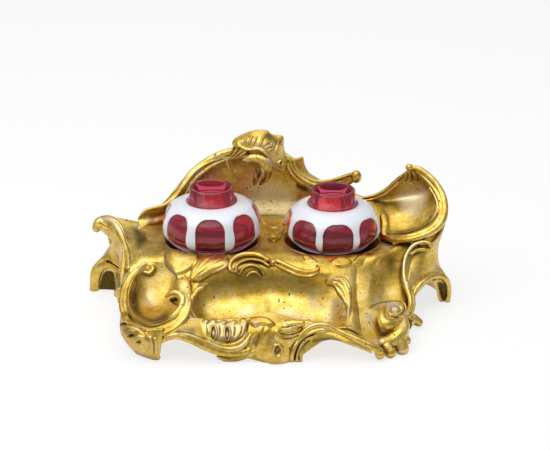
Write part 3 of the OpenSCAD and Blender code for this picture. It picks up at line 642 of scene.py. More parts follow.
C_SCROLL = [(234, 272, -22.5), (230, 269, -21.5), (231, 262, -15), (238, 256.5, -9.5), (248, 254.5, -6.5),
            (259, 255.5, -7.5), (268, 260, -12.5)]
C_INNER = [(237, 273, -22.5), (236, 267, -20), (241, 262, -15.5), (250, 259.5, -12.5), (261, 261, -14),
           (269, 266, -17.5)]
S_SCROLL = [(276, 260, -12), (288, 266, -17.5), (300, 271, -21), (310, 272, -22), (318, 269.5, -22),
            (317, 265.5, -18)]
S_INNER = [(277, 265.5, -16.5), (288, 271, -19.5), (299, 275, -21.5), (310, 276, -23), (318, 273, -23.5)]
ARCS = [[(239, 275, -22), (243.5, 268, -19.5), (251.5, 265, -17.5), (260, 268, -18.5), (263.5, 274, -20)],
        [(246, 276.5, -21.5), (251, 272.5, -20.3), (256.5, 272.5, -20.3), (260.5, 276.5, -20.5)]]
SCROLL_KNOB = (273.5, 263, -14.5)
KNOB_HALF = (2.8, 2.8, 2.8)

cast("trough_scroll_casting", [
    bead(spots(C_SCROLL), (0.9, 1.4, 1.9, 2.2, 2.3, 2.2, 1.8), (1.2, 1.8, 2.2, 2.4, 2.4, 2.2, 2)),
    bead(spots(C_INNER), (0.8, 1.1, 1.2, 1.2, 1), (1.2, 1.8, 2, 2, 1.8)),
    bead(spots(S_SCROLL), (1.6, 1.9, 1.9, 1.7, 1.4, 0.9), (2, 2.3, 2.2, 2, 1.6, 1)),
    bead(spots(S_INNER), (1, 1.2, 1.2, 1.1, 0.7), (1.6, 1.8, 1.8, 1.6, 1)),
    *[bead(spots(arc), (0.7, 1.1, 1.3, 1.1, 0.7), (1.4, 1.8, 2, 1.8, 1.4)) for arc in ARCS],
    ball(spots(SCROLL_KNOB), KNOB_HALF),
], "trough_scroll", fine=0.4, ease=2)


# Pin dish
# A round dish of gilt bronze, cast with a triple moulding that starts in a curl at the back and ends in a
# hook at the right. Its floor is smooth, and a lug bolts it under the deck.

DISH_RIM = [(-85, -9, 43.5), (-94, -18, 38), (-98, -38, 30), (-93, -58, 24), (-78, -71, 21), (-63, -69, 26),
            (-54, -58, 31), (-52, -40, 33), (-55, -24, 40), (-66, -11, 43.5)]
DISH_FLOOR = (-77, -40, 17)
DISH_STEPS = ((1, 1), (0.86, 0.68), (0.62, 0.30), (0.32, 0.07), (0.06, 0))
DISH_LUG_ROOT = (-82, -15, 40.5)
DISH_STRANDS = [
    ([(140, 267, -13), (131, 275, -18), (124.5, 287, -28), (121.5, 300, -40), (123, 313, -52),
      (130, 324, -62), (142, 331.5, -70), (155, 334.5, -74), (167, 332.5, -74), (178, 326, -70),
      (186, 316, -64), (189.5, 305, -56), (189, 295, -48)],
     (1, 1.8, 2, 2, 2, 2, 1.8, 1.2)),
    ([(141, 266, -12), (133.5, 275.5, -18), (127.5, 288, -28), (125, 301, -40), (127, 313, -51),
      (134, 322.5, -60), (145, 328.5, -67), (156, 330.5, -71), (167, 328, -71), (177, 321.5, -67),
      (184, 312, -61), (187, 302, -54), (185.5, 294.5, -47)],
     (1.2, 2, 2.2, 2.2, 2.2, 2.2, 2, 1.4)),
    ([(136, 281, -22), (132.5, 294, -33), (132.5, 309, -46), (138, 319.5, -56), (146, 325.5, -62),
      (156, 325.5, -65), (166, 321, -64), (174.5, 315, -60), (180.5, 307.5, -55), (182.3, 300, -50),
      (180, 294.5, -46), (175.5, 292.5, -44), (170.5, 293.5, -43), (166, 296.5, -43)],
     (0.7, 0.9, 1, 1.4, 2, 2, 2, 2, 2, 1.8, 1.2)),
]
DISH_CURL = [(140, 267, -13), (144, 263.5, -10), (150, 265, -11), (153, 269, -15), (149.5, 273, -18),
             (145, 272, -18)]
HOOK_HOLLOW = [(168, 299), (172.5, 296.5), (176, 296.5), (178.5, 300), (178.5, 306), (173, 304)]
DISH_MIDDLE = [(150, 280), (156, 294), (158, 310)]
DISH_HIGHLIGHT = [(143, 286), (148, 298), (152, 308)]
DISH_GRIME_AND_SHADE = [(138, 280), (134, 296), (136, 311), (144, 320.5), (155, 322), (165, 317.5), (173, 310)]


def basin(rim, low, thick, side):
    """A hollow that goes down from its rim to a low point, as a closed sheet."""
    rim = np.asarray(rim, float)
    low = np.asarray(low, float)
    rings = [low + (rim - low) * np.array([wide, wide, high]) for wide, high in DISH_STEPS]
    return plate(rings, thick, side, shut=True)


# Grime and painted shade darken the lower rim inside, the middle of the floor and the hollow of the hook, and
# a painted highlight pales the left of the floor.
cast("pin_dish_casting", [
    lug(DECK_STUDS[1], DISH_LUG_ROOT),
    basin(DISH_RIM, DISH_FLOOR, WALL, -1),
    *[bead(spots(strand), size, size) for strand, size in DISH_STRANDS],
    bead(spots(DISH_CURL), (1.2, 1.8, 2, 1.8, 1.2), (1.4, 2, 2.2, 2, 1.4)),
], "left_dish", fine=0.45, ease=3, strokes=[field(HOOK_HOLLOW, -3.5, 3)], soil=[
    ridge(DISH_GRIME_AND_SHADE, 8, 0.8, fade=0.15),
    ridge(DISH_MIDDLE, 20, 0.22, fade=0.2),
    field(HOOK_HOLLOW, 1, 3),
], rubbed=[ridge(DISH_HIGHLIGHT, 14, 0.4, fade=0.3)])


# Left wing
# A thin curled lip of gilt bronze that rises at the back left and runs down to the pin dish. It is one
# casting with the rolled edge on its outer side, and a lug bolts it under the deck.

LEFT_WING_NET = [
    [(-121, 49, 55), (-113, 51, 54), (-101, 53, 50.8), (-90, 51, 48.6), (-80, 47, 47.2)],
    [(-122, 42, 54), (-110, 42, 50), (-102, 41, 48), (-93, 38, 47.4), (-82, 36, 46.6)],
    [(-106, 26, 50), (-102, 26, 48.6), (-98, 25, 47.8), (-93, 24, 47.4), (-79, 23, 46.6)],
    [(-99, 4, 45), (-96, 4, 46), (-94, 4, 46.8), (-88, 4, 47.3), (-72, 4, 47.4)],
    [(-97, -12, 40), (-94, -11, 42), (-90, -11, 43.6), (-84, -10, 45), (-66, -7, 47.2)],
    [(-97, -17, 35), (-92, -15.5, 35.5), (-86, -14.5, 36), (-79, -14, 36.5), (-69, -14, 37)]]
LEFT_LIP = [(96.5, 228, 45), (99, 223.5, 46), (104, 221.5, 46), (110.5, 222, 42), (116.5, 227, 35),
            (121.5, 236.5, 25), (125.5, 247, 14), (127.8, 258, 2), (128.5, 268, -10)]
LIP_LINE = [(112, 219), (118, 223), (123, 230.5), (126.5, 241), (129, 254), (129.6, 266)]
LIP_HIGHLIGHT = [(97, 221), (104, 219.5), (112, 220.5), (119, 227), (124, 238)]
WING_GRIME_AND_SHADE = [(121, 221), (134, 220), (147, 225), (155, 233), (154, 245), (144, 254), (134, 260),
             (130, 250), (127, 236)]
WING_LUG_ROOT = (-98, 22, 45.5)
LIP_HALF_W = (3.4, 4.2, 4.6, 4.6, 4.2, 3.4, 2.6, 2, 1.6)
LIP_HALF_T = (3, 3.4, 3.6, 3.6, 3.4, 3, 2.5, 2, 1.6)

# Grime and painted shade darken the wing beside the lip, and a painted highlight runs along the top of the
# lip.
cast("left_wing_casting", [
    lug(DECK_STUDS[2], WING_LUG_ROOT),
    plate(LEFT_WING_NET, WALL, -1),
    bead(spots(LEFT_LIP), LIP_HALF_W, LIP_HALF_T),
], "left_wing", strokes=[ridge(LIP_LINE, 0.9, -0.8)], soil=[field(WING_GRIME_AND_SHADE, 0.85, 14)],
     rubbed=[ridge(LIP_HIGHLIGHT, 4, 0.7)])


# Left skirt
# The side of the stand under the left wing, cast in gilt bronze and soldered to it. It ends in a horseshoe
# arch with a thick rolled edge, closed by a web at the back, on which the stand rests at the back left.

LEFT_SKIRT_NET = [
    [(-126, 44, 53), (-112, 34, 51), (-103, 20, 48), (-100, 0, 42), (-101.5, -28, 31)],
    [(-119, 44, 46.5), (-111, 33.5, 45.5), (-104, 19, 43), (-101, -1, 37.5), (-101.5, -28, 28)],
    [(-112, 43, 39), (-110, 32, 40), (-105, 18, 38), (-102, -2, 33), (-101.5, -28, 25)],
    [(-119, 42, 26), (-113, 33, 31), (-104, 20, 31), (-104, -3, 26), (-101.5, -28, 23)],
    [(-129, 41, 14), (-118, 35, 27), (-105, 23, 28), (-104.5, -2, 22), (-101.5, -27.5, 21.5)],
    [(-131, 41, -1), (-121, 35, 24), (-106, 24, 26), (-105, -1, 19), (-101.5, -27, 20)]]
LEFT_ARCH = [(94.5, 290, 40), (95.3, 279, 40), (98.5, 270.5, 38), (104, 266, 35), (109.5, 265.3, 32),
             (116.5, 268.5, 27), (122.5, 274, 20)]
ARCH_INSIDE = [(100, 292), (101, 277), (105, 271), (110, 270), (114, 272), (115.5, 279), (115.5, 292)]
ARCH_SHADE = [(117.5, 270), (118.5, 280), (118, 291)]
REAR_TOE = [(-102, 3, 30), (-105, 4, 23), (-107.5, 5, 16.5), (-108.5, 6, 11.5)]
LEFT_WEB = [
    [(-130, 41, -1), (-118, 40, -1), (-107, 38, -1), (-97, 36, -1)],
    [(-127, 40, 14), (-117, 39, 14), (-106, 38, 14), (-97, 36, 14)],
    [(-116, 38, 30), (-110, 37, 30), (-103, 36, 30), (-97, 35, 30)]]

# Painted shade darkens the inside of the arch and a band beside it.
cast("left_skirt_casting", [
    plate(LEFT_SKIRT_NET, WALL, 1),
    plate(LEFT_WEB, WALL, 1),
    bead(spots(LEFT_ARCH), (3.6, 3.5, 3.1, 2.6, 2.4, 2, 1.6), (3.4, 3, 2.8, 2.6, 2.4, 2.2, 2)),
    bead(REAR_TOE, (3, 3, 2.6, 2.2), (3, 3, 2.8, 2.4)),
], "left_skirt", soil=[field(ARCH_INSIDE, 1, 2), ridge(ARCH_SHADE, 5, 0.7, fade=0.2)])


# Left front foot
# A pointed leaf of gilt bronze under the pin dish, with two sunk eyelets and flutes down its right side. It
# is cast thick, since it carries the front left of the stand, and soldered to the dish.

LEFT_FOOT_WALL = WALL + 2
LEFT_FOOT_NET = [
    [(-100, -52, 26), (-97, -65, 25), (-84, -75, 23), (-69, -76, 24)],
    [(-100.5, -57, 14), (-94, -70, 16), (-81, -79, 16), (-70, -77, 17)],
    [(-96.5, -61, 6.5), (-87, -72, 7), (-78, -78, 7), (-71, -76, 9)],
    [(-87, -67, -2), (-81, -71, -2), (-76, -74, -2), (-73, -75, -1)]]
FOOT_FACE = [(119, 325), (128, 324), (140, 328), (147, 334), (149, 342), (148, 352), (140, 352),
             (132, 345), (125, 336)]
EYELETS = [
    [(128, 336), (132, 333), (136, 334), (133, 337)],
    [(136, 342), (140, 339), (143, 341), (140, 344)],
]
LEAF_TOP = [(118, 325), (127, 323.5), (138, 326.5), (147, 332.5)]
EYELET_RIMS = [[(126, 333), (131, 330), (137, 332)], [(135, 339), (139, 336), (145, 338)]]
LEAF_FOLD = [(128, 342), (136, 348), (146, 350)]
LEAF_PAINTED_SHADE = [(122, 329), (132, 331), (143, 336)]
FOOT_FLUTES = [[(150, 336), (152, 345), (152, 356)], [(155, 337), (156, 346), (156, 356)]]

# Painted shade darkens the top of the leaf and the groove along its top edge.
cast("left_front_foot_casting", [
    plate(LEFT_FOOT_NET, LEFT_FOOT_WALL, -1),
], "left_front_foot", fine=0.45, strokes=[
    field(FOOT_FACE, 1.6, 3),
    *[field(eyelet, -1.8, 1.5) for eyelet in EYELETS],
    ridge(LEAF_TOP, 1.6, -1.1),
    *[ridge(rim, 1.4, 0.9) for rim in EYELET_RIMS],
    *[ridge(flute, 2, 1.1) for flute in FOOT_FLUTES],
    ridge(LEAF_FOLD, 1.6, 0.9),
], soil=[ridge(LEAF_PAINTED_SHADE, 9, 0.4, fade=0.2), ridge(LEAF_TOP, 2, 0.6)])


# Right cove
# A deep smooth cove of gilt bronze that falls from the deck and the bowl to the front right foot. It is one
# casting, bolted under the deck by a lug, with the lines of the volute chased into its lower end.

COVE = [
    [(59, -4, 47.2), (75, 1, 47.3), (84, 9, 47.3), (96, 16, 48), (110, 16, 47)],
    [(60, -11, 45.8), (79, -6.5, 46.6), (90, 4, 46.6), (99, 11.5, 48), (110, 12, 46)],
    [(53, -22, 38), (71, -16.5, 37), (84, -8, 36.5), (94, -1, 37), (104, 6, 37)],
    [(54, -36, 28), (71, -31, 26), (84, -22, 24), (93, -13, 25), (103, -5, 26)],
    [(54, -50, 22), (71, -48, 18), (84, -42, 16), (94, -32, 16), (104, -18, 15)],
    [(53, -66, 18), (70, -71, 9), (84, -69, 5), (95, -60, 5), (97.5, -43, 10)]]
VOLUTE_LINES = [
    [(369, 309), (375, 304), (385, 300.7), (396, 300), (403, 303), (405.5, 308), (403, 313), (397, 316.3),
     (391, 315.5), (388, 312)],
    [(391, 306.5), (398, 306), (401, 309), (397, 312.5)],
]
CHANNEL = [(391, 242), (391, 258), (388, 276), (384, 296), (380, 312)]
COVE_SHADE = [(392, 250), (393, 264), (394, 278)]
COVE_BARE = [[(368, 312), (371, 320), (372, 328)], [(384, 303), (395, 304), (401, 309)],
             [(372, 337), (380, 341)]]
COVE_HIGHLIGHT = [(376, 290), (378, 300), (374, 308)]
VOLUTE_EYE = [(390, 309), (396, 310)]
COVE_WALL = WALL + 1.5
COVE_LUG_ROOT = (86, 3.5, 41.5)

# Painted shade darkens a band down the channel, and a painted highlight pales the cove above the volute.
cast("right_cove_casting", [
    plate(COVE, COVE_WALL, -1),
    lug(DECK_STUDS[7], COVE_LUG_ROOT),
], "right_cove", strokes=[
    ridge(CHANNEL, 17, -2.4, fade=0.3),
    *[ridge(line, 0.9, -0.8, fade=0.06) for line in VOLUTE_LINES],
    ridge(VOLUTE_EYE, 4, -1.2, fade=0.3),
], soil=[ridge(COVE_SHADE, 9, 0.6, fade=0.3)], bare=[ridge(line, 6, 0.9, fade=0.2) for line in COVE_BARE],
     rubbed=[ridge(COVE_HIGHLIGHT, 8, 0.5, fade=0.3)])


# Seal bowl
# A shell-shaped bowl of gilt bronze that rises at the back right. A triple moulding runs round its rim, its
# floor is pitted from the casting, and a lug bolts it under the deck.

BOWL_NET = [
    [(380, 234, 26), (392, 238.5, 18), (407, 239.5, 12), (424, 236, 10), (438, 229, 14)],
    [(378, 228, 33), (391, 230, 31), (407, 231, 28), (426, 228, 22), (442, 219, 20)],
    [(376, 215, 45), (390, 214, 46), (407, 213, 44), (427, 210, 37), (443.5, 204, 30)],
    [(369, 204, 56), (387, 202, 58), (406, 197, 57), (424, 192, 51), (437, 186, 41)],
    [(362, 198, 61), (374, 196, 60), (388, 188, 58), (404, 173.5, 54), (418, 167, 50)]]
BOWL_STRANDS = [
    ([(382, 238.5, 23), (394, 240, 15), (408, 239.5, 9), (421, 236.5, 8), (433, 231, 11),
      (441.5, 222, 17), (444.5, 210, 26), (443, 197, 34), (437.5, 186, 40), (429, 176, 45),
      (419, 169, 49), (411, 167, 51)],
     (1.4, 2, 2.2, 2.4, 2.6, 2.8, 2.8, 2.6, 2.4, 2.2, 2, 1.4)),
    ([(381, 235, 24), (393, 237, 17), (407, 236, 11), (420, 232.5, 10), (431, 227, 13), (438.5, 218, 19),
      (440.5, 208, 27), (438.5, 197, 34), (433, 187.5, 40), (425.5, 179, 45), (417, 172, 49)],
     (0.9, 1.2, 1.4, 1.4, 1.4, 1.2, 0.8)),
    ([(388, 232, 26), (398, 233.5, 19), (409, 232, 14), (420, 228, 14), (429.5, 222, 17), (436, 213, 23),
      (437, 204.5, 30), (434.5, 196, 36), (429, 187.5, 41)],
     (0.5, 0.8, 0.9, 0.9, 0.8, 0.5)),
    ([(361, 198, 60), (373, 196, 59), (384, 191, 57), (394, 182.5, 55), (400.5, 176.5, 53)],
     (1, 1.3, 1.4, 1.2)),
    ([(364, 201, 59), (375, 198.8, 58), (386, 193.8, 56), (396, 185.5, 54), (403, 179.5, 52)],
     (0.6, 0.9, 0.9, 0.6)),
]
BOWL_TAB = [(384, 217, 34), (385, 225, 29), (384, 233, 25)]
CURL_VEINS = [[(406, 171), (407, 178), (404, 183)], [(410, 171), (412, 178), (411, 184)],
              [(413, 171), (417, 177), (418, 183)]]
BOWL_KNOB = (409.5, 167.5, 51)
BOWL_KNOB_HALF = (3, 2.6, 2.8)
BOWL_LUG_ROOT = (94, 44, 46)
BOWL_PAINTED_SHADE = [
    ([(392, 233), (410, 231), (426, 224), (434, 212)], 4, 0.6),
    ([(408, 175), (420, 181), (430, 190)], 5, 0.5),
    ([(382, 208), (389, 222)], 6, 0.5),
]
BOWL_HIGHLIGHT = [(398, 208), (408, 202), (420, 198), (430, 200)]

# Painted shade darkens the floor along the front rim, the hollow under the curl and the side by the tab, and
# a painted highlight pales the middle of the bowl.
cast("seal_bowl_casting", [
    lug(DECK_STUDS[6], BOWL_LUG_ROOT),
    plate(spots(BOWL_NET), WALL, 1),
    *[bead(spots(strand), size, size) for strand, size in BOWL_STRANDS],
    bead(spots(BOWL_TAB), (3.4, 3.6, 3.4), (2.2, 2.4, 2.2)),
    ball(spots(BOWL_KNOB), BOWL_KNOB_HALF),
], "right_bowl", fine=0.45, ease=3, strokes=[ridge(vein, 1.2, -0.7) for vein in CURL_VEINS],
     soil=[ridge(line, half, share) for line, half, share in BOWL_PAINTED_SHADE],
     rubbed=[ridge(BOWL_HIGHLIGHT, 22, 0.9, fade=0.25)])


# Right skirt
# The side of the stand under the bowl, of gilt bronze, cut out in an arch with a rolled edge and a small
# toe. It is cast in one and soldered to the cove and to the back skirt.

RIGHT_SKIRT_NET = [
    [(106, 12, 48), (116, 9, 50), (125, 17, 55), (129, 32, 62), (120, 47, 66)],
    [(102, 4, 37), (113, 6, 39), (122, 15, 42), (124, 32, 42), (117, 47, 42)],
    [(100, -5, 28), (112, 3, 30), (123, 13, 32), (125, 31, 25), (123, 44, 22)],
    [(101, -11, 21), (114, 3, 25), (127, 13, 26), (131, 25, 13), (129, 38, 10)],
    [(103, -14, 17), (116, 3, 23), (128, 14, 21), (131.9, 22, -1), (131, 34, -1)]]
RIGHT_ARCH = [(412, 299, -13), (416, 290, -8), (423, 282, -2), (431, 277, 5), (439, 276, 11),
              (445.5, 279, 15), (448.5, 286, 18), (448.5, 294, 19), (447.5, 301, 19)]
FOOT_FACE_WALL = 2
FOOT_FACE_NET = [
    [(433, 281, 8), (440, 279, 13), (446.5, 282, 18)],
    [(437.5, 290, 14), (443, 290, 19), (448.5, 291, 20)],
    [(439, 301, 17), (444, 303.5, 19), (448.5, 301, 20)]]
FOOT_HOLLOW = [(436, 283), (441, 281), (446, 284), (448.5, 291), (448, 298), (441, 300)]
RIGHT_TOE = [(408, 316, -24), (414, 319.5, -24), (419, 322.5, -24)]
ARCH_HALF_W = (1.6, 2, 2.2, 2.2, 2.3, 2.2, 2, 2, 2)
ARCH_HALF_T = (1.6, 2, 2.2, 2.2, 2.4, 2.6, 2.6, 2.4, 2.2)
TOE_SHADOW = [(407, 319), (413, 319), (420, 323), (418, 328), (408, 328)]

# Painted shade darkens the hollow of the foot, and a painted shadow lies under the toe.
cast("right_skirt_casting", [
    plate(RIGHT_SKIRT_NET, WALL, -1),
    plate(spots(FOOT_FACE_NET), FOOT_FACE_WALL, -1),
    bead(spots(RIGHT_ARCH), ARCH_HALF_W, ARCH_HALF_T),
    bead(spots(RIGHT_TOE), (3.6, 3.8, 3), (3, 3.4, 2.8)),
], "right_skirt", soil=[field(FOOT_HOLLOW, 0.7, 2.5), field(TOE_SHADOW, 0.5, 3)])


# Right scroll
# A C-scroll of gilt bronze, which ends in the volute above the front right foot, with a painted highlight on
# its bright front edge.
# It is cast on its own and soldered along the edge of the cove.

SCROLL_BAND = [(430, 250.5, 5), (431.5, 246.5, 5), (427.5, 242.8, 6), (421, 242, 7), (413, 245.5, 6),
               (407, 253.5, 3), (404, 264, -2), (404, 276, -9), (407, 288, -15), (410, 298, -21),
               (410, 307, -28), (406, 314, -36), (399, 317, -42), (392, 315.5, -44)]
SCROLL_LIP = [(411, 254, 3), (416, 250.5, 5), (423, 249.5, 5), (430, 250.5, 5)]
SCROLL_BACK = [(407.5, 283, -13), (412, 294, -17), (413.5, 304, -23), (411, 313, -30), (404, 320, -38)]
SCROLL_HIGHLIGHT = [(426, 242), (415, 244), (407, 253), (404, 266), (405, 280), (409, 294)]
BAND_HALF_W = (1.4, 1.8, 1.8, 1.6, 1.5, 1.4, 1.4, 1.5, 1.6, 1.6, 1.6, 1.5, 1.3, 0.8)
BAND_HALF_T = (1.6, 2.2, 2.4, 2.4, 2.2, 2, 2, 2, 2.2, 2.2, 2.2, 2, 1.6, 1)

# A painted highlight runs along the front edge of the band.
cast("right_scroll_casting", [
    bead(spots(SCROLL_BAND), BAND_HALF_W, BAND_HALF_T),
    bead(spots(SCROLL_LIP), (1, 1.4, 1.5, 1.4), (1.2, 1.6, 1.8, 1.6)),
    bead(spots(SCROLL_BACK), (1, 1.4, 1.6, 1.6, 1.4), (1.6, 2, 2.2, 2.2, 2)),
], "right_scroll", fine=0.42, ease=3, rubbed=[ridge(SCROLL_HIGHLIGHT, 2.5, 0.7)])


# Right front foot
# A foot of rounded toes below the volute, with a comma-shaped leaf that climbs from it into the volute. It
# is cast in gilt bronze and soldered to the cove.

FOOT_PARTS = [
    ([(403, 320, -46), (403.5, 327, -52), (399, 335, -58), (391, 341, -62), (383, 343, -66)],
     (3.6, 4.6, 5.6, 5.4, 4)),
    ([(402, 338, -58), (407, 340.5, -58)], (3.6, 3)),
    ([(399, 342, -62), (402, 348.5, -64)], (4.6, 4.9)),
    ([(387, 347, -68), (390.5, 352.5, -70)], (3.8, 4.2)),
    ([(377, 348, -73), (380, 354.5, -75)], (2.8, 3.6)),
]
COMMA = [(385, 307, -42), (382, 313, -48), (382.5, 320, -54), (387, 324.5, -57), (393, 324, -55),
         (399, 321.5, -51), (403, 320, -48)]
FOOT_BARE = [[(396, 346), (402, 350)], [(374, 340), (384, 343)]]

cast("right_front_foot_casting", [
    *[bead(spots(path), size, size) for path, size in FOOT_PARTS],
    bead(spots(COMMA), (1.2, 2.4, 3.4, 4, 3.6, 2.6, 1.8), (1.4, 2.4, 3, 3.4, 3, 2.6, 2)),
], "right_front_foot", fine=0.45, bare=[ridge(line, 6, 0.9, fade=0.2) for line in FOOT_BARE])


# Back shell
# The high wall behind the left well, hollow like a shell, with a double rib along its rim. It is cast in
# gilt bronze, two lugs bolt it under the deck, and its bosses take the studs of the crest.

BACK_SHELL_NET = [
    [(-95, 41, 39), (-90, 46, 39), (-84, 52, 39), (-66, 62, 39), (-44, 66, 39), (-20, 67, 39),
     (4, 67, 39), (24, 66, 39)],
    [(-95, 41, 47), (-90, 46, 47), (-84, 52, 47), (-66, 62, 47), (-44, 66, 47), (-20, 67, 47),
     (4, 67, 47), (24, 66, 47)],
    [(-95.5, 48, 49.5), (-89, 52, 51.5), (-80, 58, 52), (-63, 68, 57), (-43, 73, 60), (-20, 74, 61),
     (4, 74, 61), (24, 72, 59)],
    [(-96, 51, 51), (-89.5, 53, 55.5), (-78, 59, 56.5), (-59, 71, 71), (-40, 76, 79), (-19, 77, 82),
     (5, 76, 80), (23, 74, 74)],
    [(-96, 52, 52), (-90, 53, 58.5), (-75, 58.5, 61), (-55, 67, 83), (-37, 72, 94), (-18, 74, 98),
     (5, 73, 97), (20, 71, 90)],
]
SHELL_RIM = [(-95, 52, 52.5), (-90, 53, 58), (-84, 55, 59), (-75, 58.5, 61), (-65, 62.5, 70),
             (-55, 67, 83), (-37, 72, 94), (-18, 74, 98), (5, 73, 97), (20, 71, 90)]
RIM_LINE = [(166, 207), (176, 197), (186, 183), (196, 171), (208, 163), (220, 159), (231, 157)]
RIM_SIDE = (0, -1, 0.2)
TONGUE_WALL = 1.6
TONGUE = [[(262, 219, 59), (273, 220, 58), (285, 219, 59)], [(264, 229, 42), (274, 230, 40), (284, 229, 42)],
          [(267, 238, 25.5), (274, 241, 19.5), (281, 238, 25.5)]]
TONGUE_LINES = [[(264, 223), (274, 227.5), (285, 223)], [(266, 232), (274, 236), (282, 232)]]
WALL_HIGHLIGHT = [(236, 178), (270, 176), (298, 194), (296, 224), (262, 226), (240, 205)]
FLAP_HIGHLIGHT = [(144, 216), (152, 219), (160, 218)]
SHELL_LUG_ROOTS = [(-6, 68, 43), (-83, 56, 43)]
CREST_STUDS = [(-15, 80, 95), (8, 80, 88)]
BOSS_PATH = [(0, -6, 0), (0, -5, 0), (0, -4, 0)]
BOSS_R = (1.5, 4.5, 4.5)

# Painted highlights pale the middle of the wall and the flap at its left end.
cast("back_shell_casting", [
    *[lug(stud, root) for stud, root in zip(DECK_STUDS[3:5], SHELL_LUG_ROOTS)],
    *[bead(np.add(stud, BOSS_PATH), BOSS_R, BOSS_R, UP) for stud in CREST_STUDS],
    plate(spots(TONGUE), TONGUE_WALL, -1),
    plate(BACK_SHELL_NET, WALL, 1),
    bead(SHELL_RIM, (1, 1.6, 2.8, 3, 2.4), (1, 1.4, 2.4, 2.4, 2), RIM_SIDE),
    bead(SHELL_RIM[3:], (0.6, 1.2, 1.5, 1.5, 1.2), (0.8, 1.4, 1.8, 1.8, 1.4), RIM_SIDE, shift=4.6),
], "back_shell", strokes=[
    ridge(RIM_LINE, 1.4, 0.8),
    *[ridge(line, 1.6, 0.9) for line in TONGUE_LINES],
], rubbed=[field(WALL_HIGHLIGHT, 0.4, 14), ridge(FLAP_HIGHLIGHT, 7, 0.4, fade=0.2)])


# Back rail
# The low wall behind the right well, cast in gilt bronze with a horn-shaped band rolled over its top. A lug
# bolts it under the deck.

BACK_RAIL_NET = [
    [(22, 66, 39), (40, 65, 39), (56, 64, 39), (76, 60, 39)],
    [(22, 66, 47), (40, 65, 47), (56, 64, 47), (76, 60, 47)],
    [(22, 72, 59), (40, 71, 55), (56, 70, 54), (76, 66, 52)],
    [(21, 74, 74), (40, 72, 65), (55, 71, 62), (76, 66, 56)],
    [(19, 71, 88), (38, 69, 75), (54, 68, 68), (75, 62, 61.5)]]
HORN = [(290, 166, 70), (296, 174, 69), (305, 181, 68), (316, 186, 68), (329, 186.5, 68), (342, 182, 68),
        (351, 178, 68), (356.5, 175.5, 68)]
HORN_STRANDS = [
    [(293, 160, 70), (297, 169, 68), (305.5, 176.8, 66), (315, 181, 65), (327, 181, 65), (341, 177.5, 65),
     (352, 174, 66)],
    [(290, 161.5, 69), (294, 171, 67), (303, 179.5, 65), (315, 185, 64), (328, 185, 64), (341, 181.5, 64)],
]
FLANGE_WALL = 2.6
FLANGE = [[(294, 160, 70), (303.5, 157, 72)], [(298, 168, 70), (305.5, 166, 72)],
          [(304, 176, 69), (311, 176, 71)]]
HORN_TIP = (356.3, 176.8, 66)
HORN_TIP_HALF = (4, 3.6, 5)
RAIL_BARE = [([(344, 178), (351, 179)], 4, 1), ([(299, 160), (301, 168)], 4, 0.8)]
HORN_SHADOW = [(277, 172), (293, 183), (310, 191)]
RAIL_LUG_ROOT = (28, 67, 43)

# A painted shadow lies on the wall under the horn.
cast("back_rail_casting", [
    lug(DECK_STUDS[5], RAIL_LUG_ROOT),
    plate(BACK_RAIL_NET, WALL, 1),
    bead(spots(HORN), (3.6, 4.6, 5.2, 5.4, 5.2, 4.8, 4, 3), (2, 2.6, 3, 3, 3, 3, 3, 2.6)),
    *[bead(spots(strand), (0.8, 1.1, 1.2, 1.1, 0.8), (0.8, 1.2, 1.3, 1.2, 0.8)) for strand in HORN_STRANDS],
    plate(spots(FLANGE), FLANGE_WALL, -1),
    ball(spots(HORN_TIP), HORN_TIP_HALF),
], "back_rail", fine=0.45, ease=3, soil=[ridge(HORN_SHADOW, 5, 0.8)],
     bare=[ridge(line, half, share, fade=0.2) for line, half, share in RAIL_BARE])


# Crest
# A plume of flutes and drops over a hooked leaf, of gilt bronze. It is cast on its own, and two studs with
# nuts hold it to the back shell.

CREST_BORDER = [(233, 147, 68), (240, 148.5, 66), (247, 150, 64), (254, 150, 62), (261, 151, 61),
                (267, 155, 60), (271, 161, 60), (275, 168, 61), (283, 172, 64)]
CREST_MIDDLE = [(232, 144, 70), (238, 142, 68), (247, 140, 66), (256, 139.5, 65), (264, 140.5, 64),
                (271, 144, 64), (276, 149, 64), (280, 158, 65), (286, 168, 67)]
CREST_EDGE = [(232, 141, 72), (237, 136.5, 73), (247, 132, 74), (257, 129.5, 74), (267, 130, 74),
              (272, 134, 73), (283, 136, 73), (284.5, 148, 72), (288.5, 162, 70)]
CREST_HOOK = [(244, 160, 63), (251, 158, 61), (259, 159, 60), (265.5, 164, 59), (267.5, 171, 59),
              (265.5, 178, 61), (260.5, 184, 64)]
HOOK_EDGE = [(244, 161.5), (253, 163.5), (260, 167.5), (263, 173), (262.5, 180)]
HOOK_LOBE = [(259, 173, 64), (256, 178, 65), (254.5, 184, 67)]
WALL_FOLD = [(227, 160, 69), (229.5, 168, 68), (234, 175, 68)]
LEFT_FAN = [
    [(229, 159, 70), (236, 158.5, 68), (246, 157, 65)],
    [(231, 152, 70), (238, 152, 68), (246, 153, 65)],
    [(233, 146, 70), (240, 147, 68), (248, 149, 66)],
]
CREST_VEINS = [[(229, 158), (233, 151), (236, 145)], [(231, 158.5), (236, 153), (240, 148)],
               [(234, 158.5), (239, 154.5), (244, 151)], [(238, 158), (243, 156), (248, 153)]]
BORDER_LINE = [(236, 142), (241, 147), (249, 150), (258, 149), (265, 153), (270.5, 160.5), (275, 168),
               (283, 172)]
FLUTES = [[(245, 144), (246, 139), (249, 136)], [(249, 145), (250.5, 140), (253, 136)],
          [(253, 146), (255, 141), (257, 137)], [(259, 147), (262, 140), (266, 134)],
          [(275, 156), (277, 147), (279, 139)]]
SWIRLS = [[(264, 146), (267, 142.5), (271, 143), (270, 147)], [(265.5, 149), (268.5, 146), (272, 146.5)],
          [(268, 152), (271, 149), (274, 149.5)]]
